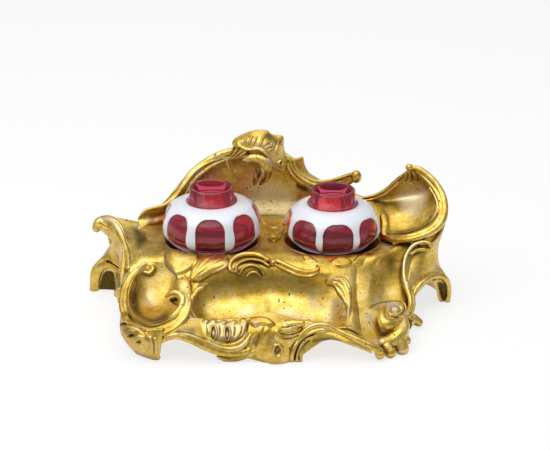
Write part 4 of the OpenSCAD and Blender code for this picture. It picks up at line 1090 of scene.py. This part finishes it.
RING = [(276.5, 163), (280.5, 159), (284.5, 163), (280.5, 168)]
RING_HOLE = [(280.5, 161.5), (280.5, 165.5)]
PLUME_PAINTED_SHADE = [(262, 134), (274, 139), (281, 146)]
HOOK_SHADOW = [(247, 166), (257, 171), (259, 179)]
CREST_BARE = [([(241, 140), (247, 144), (253, 145)], 4, 0.8), ([(268, 158), (275, 168), (284, 171)], 4, 0.9)]
CREST_WALL = WALL + 1
STUD_PATH = [(0, -14, 0), (0, -6, 0), (0, 2, 0)]
STUD_R = (STUD_D / 2, STUD_D / 2)

# Painted shade darkens a band in the plume, a painted shadow lies under the hook, and a painted highlight
# runs along its edge.
cast("crest_casting", [
    *[bead(np.add(stud, STUD_PATH), STUD_R, STUD_R, UP) for stud in CREST_STUDS],
    plate(spots([CREST_BORDER, CREST_MIDDLE, CREST_EDGE]), CREST_WALL, 1),
    plate(spots(LEFT_FAN), WALL, 1),
    bead(spots(CREST_HOOK), (1.4, 3, 3.8, 4.2, 3.8, 2.8, 1.4), (1.6, 2.4, 2.8, 3, 2.8, 2.2, 1.4)),
    bead(spots(HOOK_LOBE), (1.6, 2.2, 1.4), (1.6, 2.2, 1.4)),
    bead(spots(WALL_FOLD), (1, 1.3, 0.8), (1, 1.3, 0.8)),
], "crest", fine=0.4, ease=3, strokes=[
    ridge(BORDER_LINE, 2, 1),
    *[ridge(flute, 1.5, 1) for flute in FLUTES],
    *[ridge(vein, 1, -0.7) for vein in CREST_VEINS],
    *[ridge(swirl, 1.3, 1.1) for swirl in SWIRLS],
    field(RING, 1.4, 1.6),
    ridge(RING_HOLE, 2, -1.8, fade=0.3),
    ridge(HOOK_EDGE, 1.5, 1.1),
], soil=[ridge(PLUME_PAINTED_SHADE, 7, 0.6, fade=0.2), ridge(HOOK_SHADOW, 4, 0.8)],
     bare=[ridge(line, half, share) for line, half, share in CREST_BARE], rubbed=[ridge(HOOK_EDGE, 2, 0.8)])


# Front apron
# The front of the stand below the trough: a fluted shell border with oval drops, an S-shaped rim and a
# C-scroll. It is cast in one in gilt bronze and soldered along the lip of the trough.

APRON = [
    [(-76, -70, 23), (-66, -70, 24), (-52, -63, 26), (-38, -61, 24), (-18, -59, 24), (3, -59, 25),
     (25, -61, 23), (42, -65, 20), (56, -66, 18), (70, -70, 10)],
    [(-74, -74, 20), (-64, -75, 21), (-52, -74, 22), (-38, -73, 17), (-20, -73, 13), (4, -73, 16),
     (25, -72, 17), (39, -72, 20), (55, -74, 16), (70, -75, 9)],
    [(-72, -76, 17), (-63, -76, 18.5), (-52, -77, 18), (-38, -78, 11), (-20, -78, 5), (5, -79, -1),
     (20, -77, 2), (39, -75, 14.5), (55, -77, 14), (71, -76, 5)],
]
S_STRANDS = [
    ([(158, 343.5, -74), (165, 338.5, -75), (176, 335.5, -76), (190, 339.3, -77), (205, 346.3, -78),
      (221, 352, -78), (238, 353, -77), (249, 350, -75), (257, 344, -72)],
     (1.6, 2.2, 2.6, 2.8, 2.8, 2.8, 2.6, 2, 1)),
    ([(163, 338.5, -75), (175, 334, -76), (190, 336, -77), (204, 342, -78), (217, 347, -78),
      (229, 349.5, -78), (239, 348, -77), (246, 342.5, -75), (250.5, 335, -72), (256, 328, -69)],
     (1, 1.6, 1.8, 1.9, 1.9, 1.9, 1.8, 1.6, 1)),
    ([(205, 337, -76), (214, 342, -77), (224, 345.5, -77), (235, 344, -76), (242.5, 339.5, -75),
      (246.5, 333, -73)],
     (0.7, 1.2, 1.4, 1.3, 1.1, 0.7)),
]
CRESCENT = [(218, 356.5, -76), (225, 358.5, -76), (235, 358.3, -76), (246, 355.5, -76), (254, 351.5, -76)]
BORDER = [(201, 322), (206, 318), (216, 320), (224, 319), (234, 321), (243, 320), (249, 317), (250, 328),
          (245, 336), (238, 342), (224, 343), (210, 338), (202, 331)]
BORDER_FLUTES = [[(206.5, 325), (207, 331), (209, 337)], [(219.5, 325), (220, 332), (219, 340)],
                 [(234.5, 325), (235, 332), (233, 341)], [(242, 324), (242, 331), (239.5, 337)]]
BORDER_LOBES = [(205.5, 322.5), (214, 321.5), (224, 323), (234, 322.5), (243, 321)]
DROPS = [(213, 334), (227, 334.5)]
FRONT_STRANDS = [
    ([(297, 342, -75), (302, 334, -73), (310, 327.5, -71), (319, 325, -70), (328, 326, -70),
      (337, 330.3, -71), (347, 335, -73), (360, 341, -75), (371, 346, -76), (380, 351.5, -76)],
     (1.4, 1.8, 2, 2, 2, 2, 2, 2.2, 2.4, 2.6)),
    ([(291.5, 360, -77), (293.5, 351, -77), (298.5, 342, -75), (307.5, 335, -73), (317.5, 331, -72),
      (328, 330.5, -71), (337, 333.5, -72)],
     (2, 2, 1.8, 1.6, 1.6, 1.4, 1)),
    ([(297, 361, -77), (298, 353, -77), (302, 345, -75), (309, 339, -73), (318, 335, -72), (330, 334, -71)],
     (1.7, 1.7, 1.6, 1.5, 1.3, 0.9)),
    ([(300.5, 361, -77), (301, 354, -76), (305, 347, -74)], (1.4, 1.4, 0.9)),
]
FLUTE_GROOVES = [[(294.4, 361), (296, 352), (300.6, 343), (308, 337), (318, 333)],
                 [(298.9, 361), (299.7, 353), (304, 345.5), (311, 340)]]
LEFT_PAINTED_SHADE = [(172, 333), (186, 330), (198, 333)]
LEFT_HIGHLIGHT = [(176, 332), (188, 331), (200, 335)]
FOLD_SHADE = [([(254, 334), (256, 342), (254, 349)], 5, 0.6), ([(310, 342), (325, 339), (342, 341)], 4, 0.6)]
APRON_BARE = [([(190, 335), (204, 341), (217, 346), (229, 348.5), (239, 347), (248, 340)], 1.6, 0.9, 0.12),
              ([(316, 327), (326, 327)], 3, 0.7, 0.3), ([(219, 321), (223, 326)], 3, 1, 0.2)]


def oval(at, wide, high):
    """The four corners of an oval round a pixel."""
    return [(at[0] - wide, at[1]), (at[0], at[1] - high), (at[0] + wide, at[1]), (at[0], at[1] + high)]


def oval_line(at, wide, high):
    """A line round an oval that comes back to its start."""
    turn = np.linspace(0, 2 * np.pi, 13)
    return [(at[0] + wide * math.sin(t), at[1] - high * math.cos(t)) for t in turn]


# Painted shade darkens the left end, the shell border, its grooves and the folds, and painted highlights pale
# the border and the left end.
cast("front_apron_casting", [
    plate(APRON, WALL, -1),
    *[bead(spots(strand), size, size) for strand, size in S_STRANDS],
    bead(spots(CRESCENT), (1.2, 2.2, 2.4, 2.2, 1.4), (1.6, 2.2, 2.4, 2, 1.4)),
    *[bead(spots(strand), size, size) for strand, size in FRONT_STRANDS],
], "front_apron", fine=0.45, ease=3, strokes=[
    field(BORDER, 1.6, 6),
    *[ridge(flute, 1.3, -0.7, fade=0.3) for flute in BORDER_FLUTES],
    *[field(oval(lobe, 4.6, 4), 1.2, 3) for lobe in BORDER_LOBES],
    *[ridge(oval_line(drop, 3, 7), 1.2, 1, fade=0.01) for drop in DROPS],
    *[field(oval(drop, 2.6, 6.5), -0.8, 1.5) for drop in DROPS],
    *[ridge(groove, 1.2, -1.2) for groove in FLUTE_GROOVES],
], soil=[
    ridge(LEFT_PAINTED_SHADE, 7, 0.6, fade=0.2),
    field(BORDER, 0.15, 4),
    *[ridge(groove, 1.6, 0.5) for groove in FLUTE_GROOVES],
    *[ridge(line, half, share) for line, half, share in FOLD_SHADE],
], bare=[ridge(line, half, share, fade=fade) for line, half, share, fade in APRON_BARE],
     rubbed=[field(BORDER, 0.35, 4), ridge(LEFT_HIGHLIGHT, 6, 0.4, fade=0.3)])


# Front cartouche
# A rolled leaf over a hollow boss in the middle of the front, cast in gilt bronze. It is soldered to the
# apron, and the stand rests on its tip.

LEAF_WALL = WALL + 1
FRONT_LEAF = [
    [(-11, -62, 27), (1, -62, 30), (12, -64, 28), (24, -66, 25)],
    [(-13, -71, 20), (0, -74, 24), (11, -75, 23), (23, -73, 20)],
    [(-13, -74.5, 11), (1, -79.4, 13), (10, -79.8, 12), (18, -76, 10)],
    [(-11, -76, 4), (2, -81, 0), (9, -81, -2), (16, -78, -1)]]
ROLL = [(274, 327, -68), (284, 325.5, -69), (293, 324, -70), (302, 323.5, -70)]
TOP_LOBE = [(248, 323), (251, 317.5), (258, 316), (266, 317), (272, 320), (276, 325), (270, 328),
            (262, 326), (255, 328)]
FOLDS = [
    [(268, 323), (266, 330), (263, 338), (260, 346), (256, 352)],
    [(277, 326), (277, 332), (280, 338), (286, 342)],
]
ROLL_HOLLOW = [(250, 344), (251.5, 336), (257, 331), (261, 334), (259, 342), (255, 349)]
BOSS = (277.5, 350.5)
SWEEPS = [[(277.5, 332), (288, 335), (298, 333), (305, 328)], [(282, 338), (292, 338.5), (300, 335)]]
ROLL_LINE = [(281, 327.5), (289, 326.5), (298, 325)]
LOBE_BARE = [(255, 322), (258, 328)]

# Painted shade darkens the hollow under the roll and the middle of the boss.
cast("front_cartouche_casting", [
    plate(FRONT_LEAF, LEAF_WALL, -1),
    bead(spots(ROLL), (2.4, 3.2, 3.2, 2.4), (2.4, 3, 3, 2.4)),
], "front_cartouche", fine=0.4, ease=3, strokes=[
    field(TOP_LOBE, 2, 3.5),
    *[ridge(fold, 5, 1.4, fade=0.3) for fold in FOLDS],
    field(ROLL_HOLLOW, -1.2, 4),
    ridge(oval_line(BOSS, 4.4, 6), 1.8, 1.3, fade=0.01),
    field(oval(BOSS, 3.4, 5), -1, 2),
    *[ridge(sweep, 1.3, -0.9) for sweep in SWEEPS],
    ridge(ROLL_LINE, 1.1, -0.7),
], soil=[field(ROLL_HOLLOW, 0.35, 4), field(oval(BOSS, 3.4, 5), 0.4, 2)],
     bare=[ridge(LOBE_BARE, 4, 0.9, fade=0.2)])


# Back skirt
# A plain curved wall of gilt bronze that closes the stand at the back. It is cast with three low arches and
# soldered to the skirts at both sides.

BACK_SKIRT_NET = [
    [(-119, 47, 47), (-104, 46, 48), (-87, 56, 49), (-45, 69.5, 49.5), (0, 70.5, 50), (45, 69, 49.5),
     (78, 62.5, 49.5), (100, 57, 52), (114, 50.5, 55), (121, 47.5, 56)],
    [(-117, 45, 28), (-103, 48, 26), (-86, 58, 24), (-45, 70, 24), (0, 71, 24), (45, 69, 24),
     (78, 63, 24), (100, 58, 26), (113, 51, 32), (119, 46.5, 34)],
    [(-126, 46, 8), (-106, 52, 15), (-86, 61, 16), (-45, 73, 6), (0, 75, 10), (45, 72, 6), (78, 66, 15),
     (100, 62, 15), (119, 52, 10), (126.5, 43, 13)],
    [(-130, 44, -1), (-107, 53, 13), (-86, 62, 14), (-46, 74, -1), (0, 76, 9), (46, 73, -1), (78, 67, 13),
     (100, 63, 13), (121, 52, -1), (130, 38, -1)],
]

cast("back_skirt_casting", [plate(BACK_SKIRT_NET, WALL, 1)], "back_skirt", fine=0.8)


# Wells
# Two squat bottles of ruby glass cased in white opal. Eight arched windows are cut through the casing of
# each one, down to the ruby. They stand loose in the cups and lift out.

NECK_H = 10.6
NECK_R = 16
BORE_R = 13.2
LEDGE = 2.3
GLASS = 3.2
CASING = 1.2
CUT_DEPTH = 0.15
WINDOWS = 8
WINDOW_ARCH = 8.4
WINDOW_FOOT = 3.5
CUTTER_REACH = (8, 60)
OUTLINE_H = 34.4
RUBY_FADE = (0.048, 0.066)
RUBY_PAINTED_SHADE = (0.74, 0.12, 0.15, 1)
RUBY_LIGHT = (1, 0.16, 0.28, 1)
OPAL_WHITE = (0.76, 0.81, 0.90, 1)
# Side, axis, radius, height, turn of the windows, and their foot, head room and width
WELLS = (("left", LEFT_WELL, 36.5, 45, 0, 5, 3.6, 21), ("right", RIGHT_WELL, 35, 43, 5, 3.8, 5.2, 22))


def ruby_glass():
    """Ruby glass: clear and red, with painted shade that makes it darker towards the base."""
    made, tone, shader = new_material("ruby_glass")
    place = tone.node("ShaderNodeTexCoord", out="Object")
    height = tone.node("ShaderNodeSeparateXYZ", {0: place}, out=2)
    # Painted shade: the red darkens towards the base.
    depth = height.between(*RUBY_FADE).mixed(RUBY_PAINTED_SHADE, RUBY_LIGHT)
    made.node_tree.links.new(depth.socket, shader.inputs["Base Color"])
    shader.inputs["Transmission Weight"].default_value = 0.93
    shader.inputs["Roughness"].default_value = 0.02
    shader.inputs["IOR"].default_value = 1.16
    shader.inputs["Coat Weight"].default_value = 0.8
    shader.inputs["Coat Roughness"].default_value = 0.02
    shader.inputs["Specular IOR Level"].default_value = 0.5
    return made


def opal_casing():
    """White opal glass with a fire-polished skin."""
    made, _, shader = new_material("opal_casing")
    shader.inputs["Base Color"].default_value = OPAL_WHITE
    shader.inputs["Subsurface Weight"].default_value = 0.7
    shader.inputs["Subsurface Radius"].default_value = (1, 1, 1)
    shader.inputs["Subsurface Scale"].default_value = 0.003
    shader.inputs["Roughness"].default_value = 0.10
    shader.inputs["Coat Weight"].default_value = 0.6
    shader.inputs["Coat Roughness"].default_value = 0.03
    return made


RUBY = ruby_glass()
OPAL = opal_casing()


def well_outline(r, h):
    """The outside of a well from its base to its shoulder, as radius and height."""
    k = h / OUTLINE_H
    return smooth([(r - 13, 0), (r - 10, 1.8 * k), (r - 6.5, 4.8 * k), (r - 2.8, 8.6 * k),
                   (r - 0.6, 12.2 * k), (r, 15.4 * k), (r - 0.4, 19.6 * k), (r - 1.7, 24 * k),
                   (r - 4.2, 28.2 * k), (r - 8.4, 31.6 * k), (NECK_R + 7, 33.5 * k), (NECK_R + LEDGE, h)], 6)


def inset(line, depth):
    """A line of radius and height moved in by a depth."""
    ahead = np.gradient(line, axis=0)
    ahead /= np.linalg.norm(ahead, axis=1, keepdims=True)
    moved = line + depth * np.stack([-ahead[:, 1], ahead[:, 0]], 1)
    moved[0, 1] = line[0, 1]
    return moved


def window(at, angle, low, top, wide):
    """A cutter in the shape of a window: straight sides under a round arch, with small corners below."""
    half = wide / 2
    ring = []
    for corner, level, start in ((WINDOW_FOOT, low + WINDOW_FOOT, -90), (WINDOW_ARCH, top - WINDOW_ARCH, 0)):
        turn = np.radians(start + np.linspace(0, 90, 14))
        ring += [(half - corner + corner * math.cos(a), level + corner * math.sin(a)) for a in turn]
    ring += [(-x, z) for x, z in reversed(ring)]
    c, s = math.cos(angle), math.sin(angle)
    verts = [(at[0] + c * d - s * x, at[1] + s * d + c * x, SEAT + z) for d in CUTTER_REACH for x, z in ring]
    n = len(ring)
    faces = [tuple(range(n)), tuple(range(2 * n - 1, n - 1, -1))]
    faces += [(i, n + i, n + (i + 1) % n, (i + 1) % n) for i in range(n)]
    return verts, faces


for side, at, r, full, turn, low, drop, wide in WELLS:
    h = full - NECK_H
    outer = well_outline(r, h)
    skin = [(x, SEAT + z) for x, z in inset(outer, CASING) if x > NECK_R + LEDGE]
    hollow = [(x, SEAT + z) for x, z in inset(outer, CASING + GLASS) if x > BORE_R + 1 and z > GLASS + 1.5]
    neck = [(NECK_R + LEDGE, h - CASING), (NECK_R + LEDGE, h + 0.6), (NECK_R + 1.6, h + 1.4),
            (NECK_R, h + 1.8), (NECK_R, full - 0.8), (NECK_R - 0.8, full), (BORE_R + 0.8, full),
            (BORE_R, full - 0.8), (BORE_R, h - GLASS)]
    body = lathe(f"{side}_well_body", [(0, SEAT), *skin, *[(x, SEAT + z) for x, z in neck], *reversed(hollow),
                                       (hollow[0][0] - 1.5, SEAT + GLASS), (0, SEAT + GLASS)], at)
    placed(body, f"{side}_well", "ruby_glass", RUBY, f"{side}_well_ruby")

    inner = [(x, SEAT + z) for x, z in inset(outer, CASING + CUT_DEPTH) if x > NECK_R + LEDGE]
    casing = lathe(f"{side}_well_casing", [*[(x, SEAT + z) for x, z in outer],
                                           (NECK_R + LEDGE, SEAT + h - CASING), *reversed(inner)], at)
    cuts = []
    for k in range(WINDOWS):
        angle = math.radians(turn + 270 + k * 360 / WINDOWS)
        cutter = mesh_object("cutter", *window(at, angle, low, h - drop, wide))
        cuts.append(cutter)
        cut = casing.modifiers.new("window", "BOOLEAN")
        cut.object = cutter
        cut.operation = "DIFFERENCE"
        cut.solver = "EXACT"
    finished(casing)
    for cutter in cuts:
        bpy.data.objects.remove(cutter)
    placed(casing, f"{side}_well", "opal_overlay", OPAL, f"{side}_well_overlay")


# Nuts
# Hexagonal iron nuts on the studs, eight under the deck and two behind the crest. They hold the castings to
# the deck and the crest to the back shell.

NUT_W = 6
NUT_T = 2.6
NUT_BEVEL = 0.3
NUT_PLAY = 0.05
NUT_STEPS = 48
NUT_LEVEL = DECK_TOP - WALL - LUG - NUT_T
IRON_GREY = (0.16, 0.14, 0.12, 1)


def iron():
    """Plain iron, darkened by age."""
    made, _, shader = new_material("iron")
    shader.inputs["Base Color"].default_value = IRON_GREY
    shader.inputs["Metallic"].default_value = 1.0
    shader.inputs["Roughness"].default_value = 0.5
    return made


IRON = iron()


def nut_tree():
    """Sets a copy of a nut on every point of the mesh."""
    tree = bpy.data.node_groups.new("nuts_on_studs", "GeometryNodeTree")
    tree.interface.new_socket("Studs", in_out="INPUT", socket_type="NodeSocketGeometry")
    tree.interface.new_socket("Nut", in_out="INPUT", socket_type="NodeSocketObject")
    tree.interface.new_socket("Finish", in_out="INPUT", socket_type="NodeSocketMaterial")
    tree.interface.new_socket("Nuts", in_out="OUTPUT", socket_type="NodeSocketGeometry")
    given = tree.nodes.new("NodeGroupInput")
    given_out = tree.nodes.new("NodeGroupOutput")
    nut = tree.nodes.new("GeometryNodeObjectInfo")
    copies = tree.nodes.new("GeometryNodeInstanceOnPoints")
    real = tree.nodes.new("GeometryNodeRealizeInstances")
    painted = tree.nodes.new("GeometryNodeSetMaterial")
    for a, b in ((given.outputs["Nut"], nut.inputs["Object"]),
                 (given.outputs["Studs"], copies.inputs["Points"]),
                 (nut.outputs["Geometry"], copies.inputs["Instance"]),
                 (copies.outputs["Instances"], real.inputs["Geometry"]),
                 (real.outputs["Geometry"], painted.inputs["Geometry"]),
                 (given.outputs["Finish"], painted.inputs["Material"]),
                 (painted.outputs["Geometry"], given_out.inputs["Nuts"])):
        tree.links.new(a, b)
    return tree


def nut_shape(axis):
    """One nut with a round hole, its thickness along the axis."""
    n = NUT_STEPS
    turn = np.linspace(0, 2 * np.pi, n, endpoint=False)
    flat = np.abs((turn + np.pi / 6) % (np.pi / 3) - np.pi / 6)
    outside = NUT_W / 2 / np.cos(flat)
    inside = np.full(n, STUD_D / 2 + NUT_PLAY)
    rings = [(outside - NUT_BEVEL, 0), (outside, NUT_BEVEL), (outside, NUT_T - NUT_BEVEL),
             (outside - NUT_BEVEL, NUT_T), (inside, NUT_T), (inside, 0)]
    verts = []
    for size, level in rings:
        flatwise = np.stack([size * np.cos(turn), size * np.sin(turn), np.full(n, level)], 1)
        verts.append(flatwise if axis == "Z" else flatwise[:, [0, 2, 1]])
    faces = []
    for i in range(len(rings)):
        a, b = i * n, (i + 1) % len(rings) * n
        faces += [(a + k, a + (k + 1) % n, b + (k + 1) % n, b + k) for k in range(n)]
    if axis != "Z":
        faces = [tuple(reversed(f)) for f in faces]
    return mesh_object("nut", np.concatenate(verts), faces)


NUT_TREE = nut_tree()
NUT_SETS = (("deck_nut_set", "Z", [(x, y, NUT_LEVEL) for x, y in DECK_STUDS], "deck_nuts"),
            ("crest_nut_set", "Y", CREST_STUDS, "crest_nuts"))
for name, axis, points, node in NUT_SETS:
    shape = nut_shape(axis)
    nuts = mesh_object(name, points, [])
    setter = nuts.modifiers.new("nuts", "NODES")
    setter.node_group = NUT_TREE
    for socket in NUT_TREE.interface.items_tree:
        if socket.name == "Nut":
            setter[socket.identifier] = shape
        if socket.name == "Finish":
            setter[socket.identifier] = IRON
    finished(nuts)
    nuts.data.shade_flat()
    bpy.data.objects.remove(shape)
    placed(nuts, "stand", "iron_nuts", IRON, node)


# Studio
# A white floor that keeps a faint shadow, under one wide soft lamp overhead and a weaker one at the left.
# The surround is dim near the floor and bright above, as in a light tent that is open in front.

PHOTO_WIDTH = 550
SENSOR = 36
FLOOR_REACH = 6000
FLOOR_DROP = 0.2
WHITENED = 0.75
FLOOR_GREY = (0.9, 0.9, 0.9, 1)
SURROUND = [(0.5, 0.35), (0.8, 0.42), (0.9, 0.8), (0.97, 1.2)]
LAMPS = (("key", (-150, -200, 1000), 1200, 5), ("fill", (-700, -400, 850), 900, 3))


def floor_material():
    """A pale floor, whitened for what is seen straight, in metal and through glass. Its shadow stays."""
    made, tone, shader = new_material("floor_white")
    tree = made.node_tree
    shader.inputs["Base Color"].default_value = FLOOR_GREY
    shader.inputs["Roughness"].default_value = 0.9
    white = tone.node("ShaderNodeEmission", {"Color": (1, 1, 1, 1), "Strength": 1.0})
    straight = tone.node("ShaderNodeLightPath", out="Is Camera Ray")
    mirrored = tone.node("ShaderNodeLightPath", out="Is Glossy Ray")
    through = tone.node("ShaderNodeLightPath", out="Is Transmission Ray")
    shown = straight.maths("MAXIMUM", straight.maths("MAXIMUM", straight, mirrored), through) * WHITENED
    mix = tree.nodes.new("ShaderNodeMixShader")
    tree.links.new(shown.socket, mix.inputs[0])
    tree.links.new(shader.outputs[0], mix.inputs[1])
    tree.links.new(white.socket, mix.inputs[2])
    tree.links.new(mix.outputs[0], tree.nodes["Material Output"].inputs["Surface"])
    return made


corners = [(x * FLOOR_REACH, y * FLOOR_REACH, -FLOOR_DROP) for x, y in ((-1, -1), (1, -1), (1, 1), (-1, 1))]
floor = mesh_object("floor", corners, [(0, 1, 2, 3)])
floor.data.materials.append(floor_material())
floor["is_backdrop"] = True

world = bpy.data.worlds.new("studio")
bpy.context.scene.world = world
world.use_nodes = True
tone = Tone(world.node_tree)
toward = tone.node("ShaderNodeTexCoord", out="Generated")
height = tone.node("ShaderNodeSeparateXYZ", {0: toward}, out=2)
behind = tone.node("ShaderNodeSeparateXYZ", {0: toward}, out=1)
surround = tone.node("ShaderNodeValToRGB", {0: height * 0.5 + behind * 0.03 + 0.5},
                     stops=[(place, (grey, grey, grey)) for place, grey in SURROUND])
backdrop = world.node_tree.nodes["Background"]
world.node_tree.links.new(surround.socket, backdrop.inputs["Color"])
backdrop.inputs["Strength"].default_value = 1.0

for name, at, size, power in LAMPS:
    light = bpy.data.lights.new(name, "AREA")
    light.size = size * MM
    light.energy = power
    lamp = bpy.data.objects.new(name, light)
    lamp.location = Vector(at) * MM
    lamp.rotation_euler = (Vector(AIM * MM) - lamp.location).to_track_quat("-Z", "Y").to_euler()
    bpy.context.scene.collection.objects.link(lamp)

eye = bpy.data.cameras.new("photo_camera")
eye.sensor_width = SENSOR
eye.lens = PHOTO_FOCAL / PHOTO_WIDTH * SENSOR
camera = bpy.data.objects.new("photo_camera", eye)
camera.location = Vector(EYE * MM)
camera.rotation_euler = (math.pi / 2 - TILT, 0, 0)
bpy.context.scene.collection.objects.link(camera)
bpy.context.scene.camera = camera
bpy.context.scene.view_settings.view_transform = "Standard"

low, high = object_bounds()
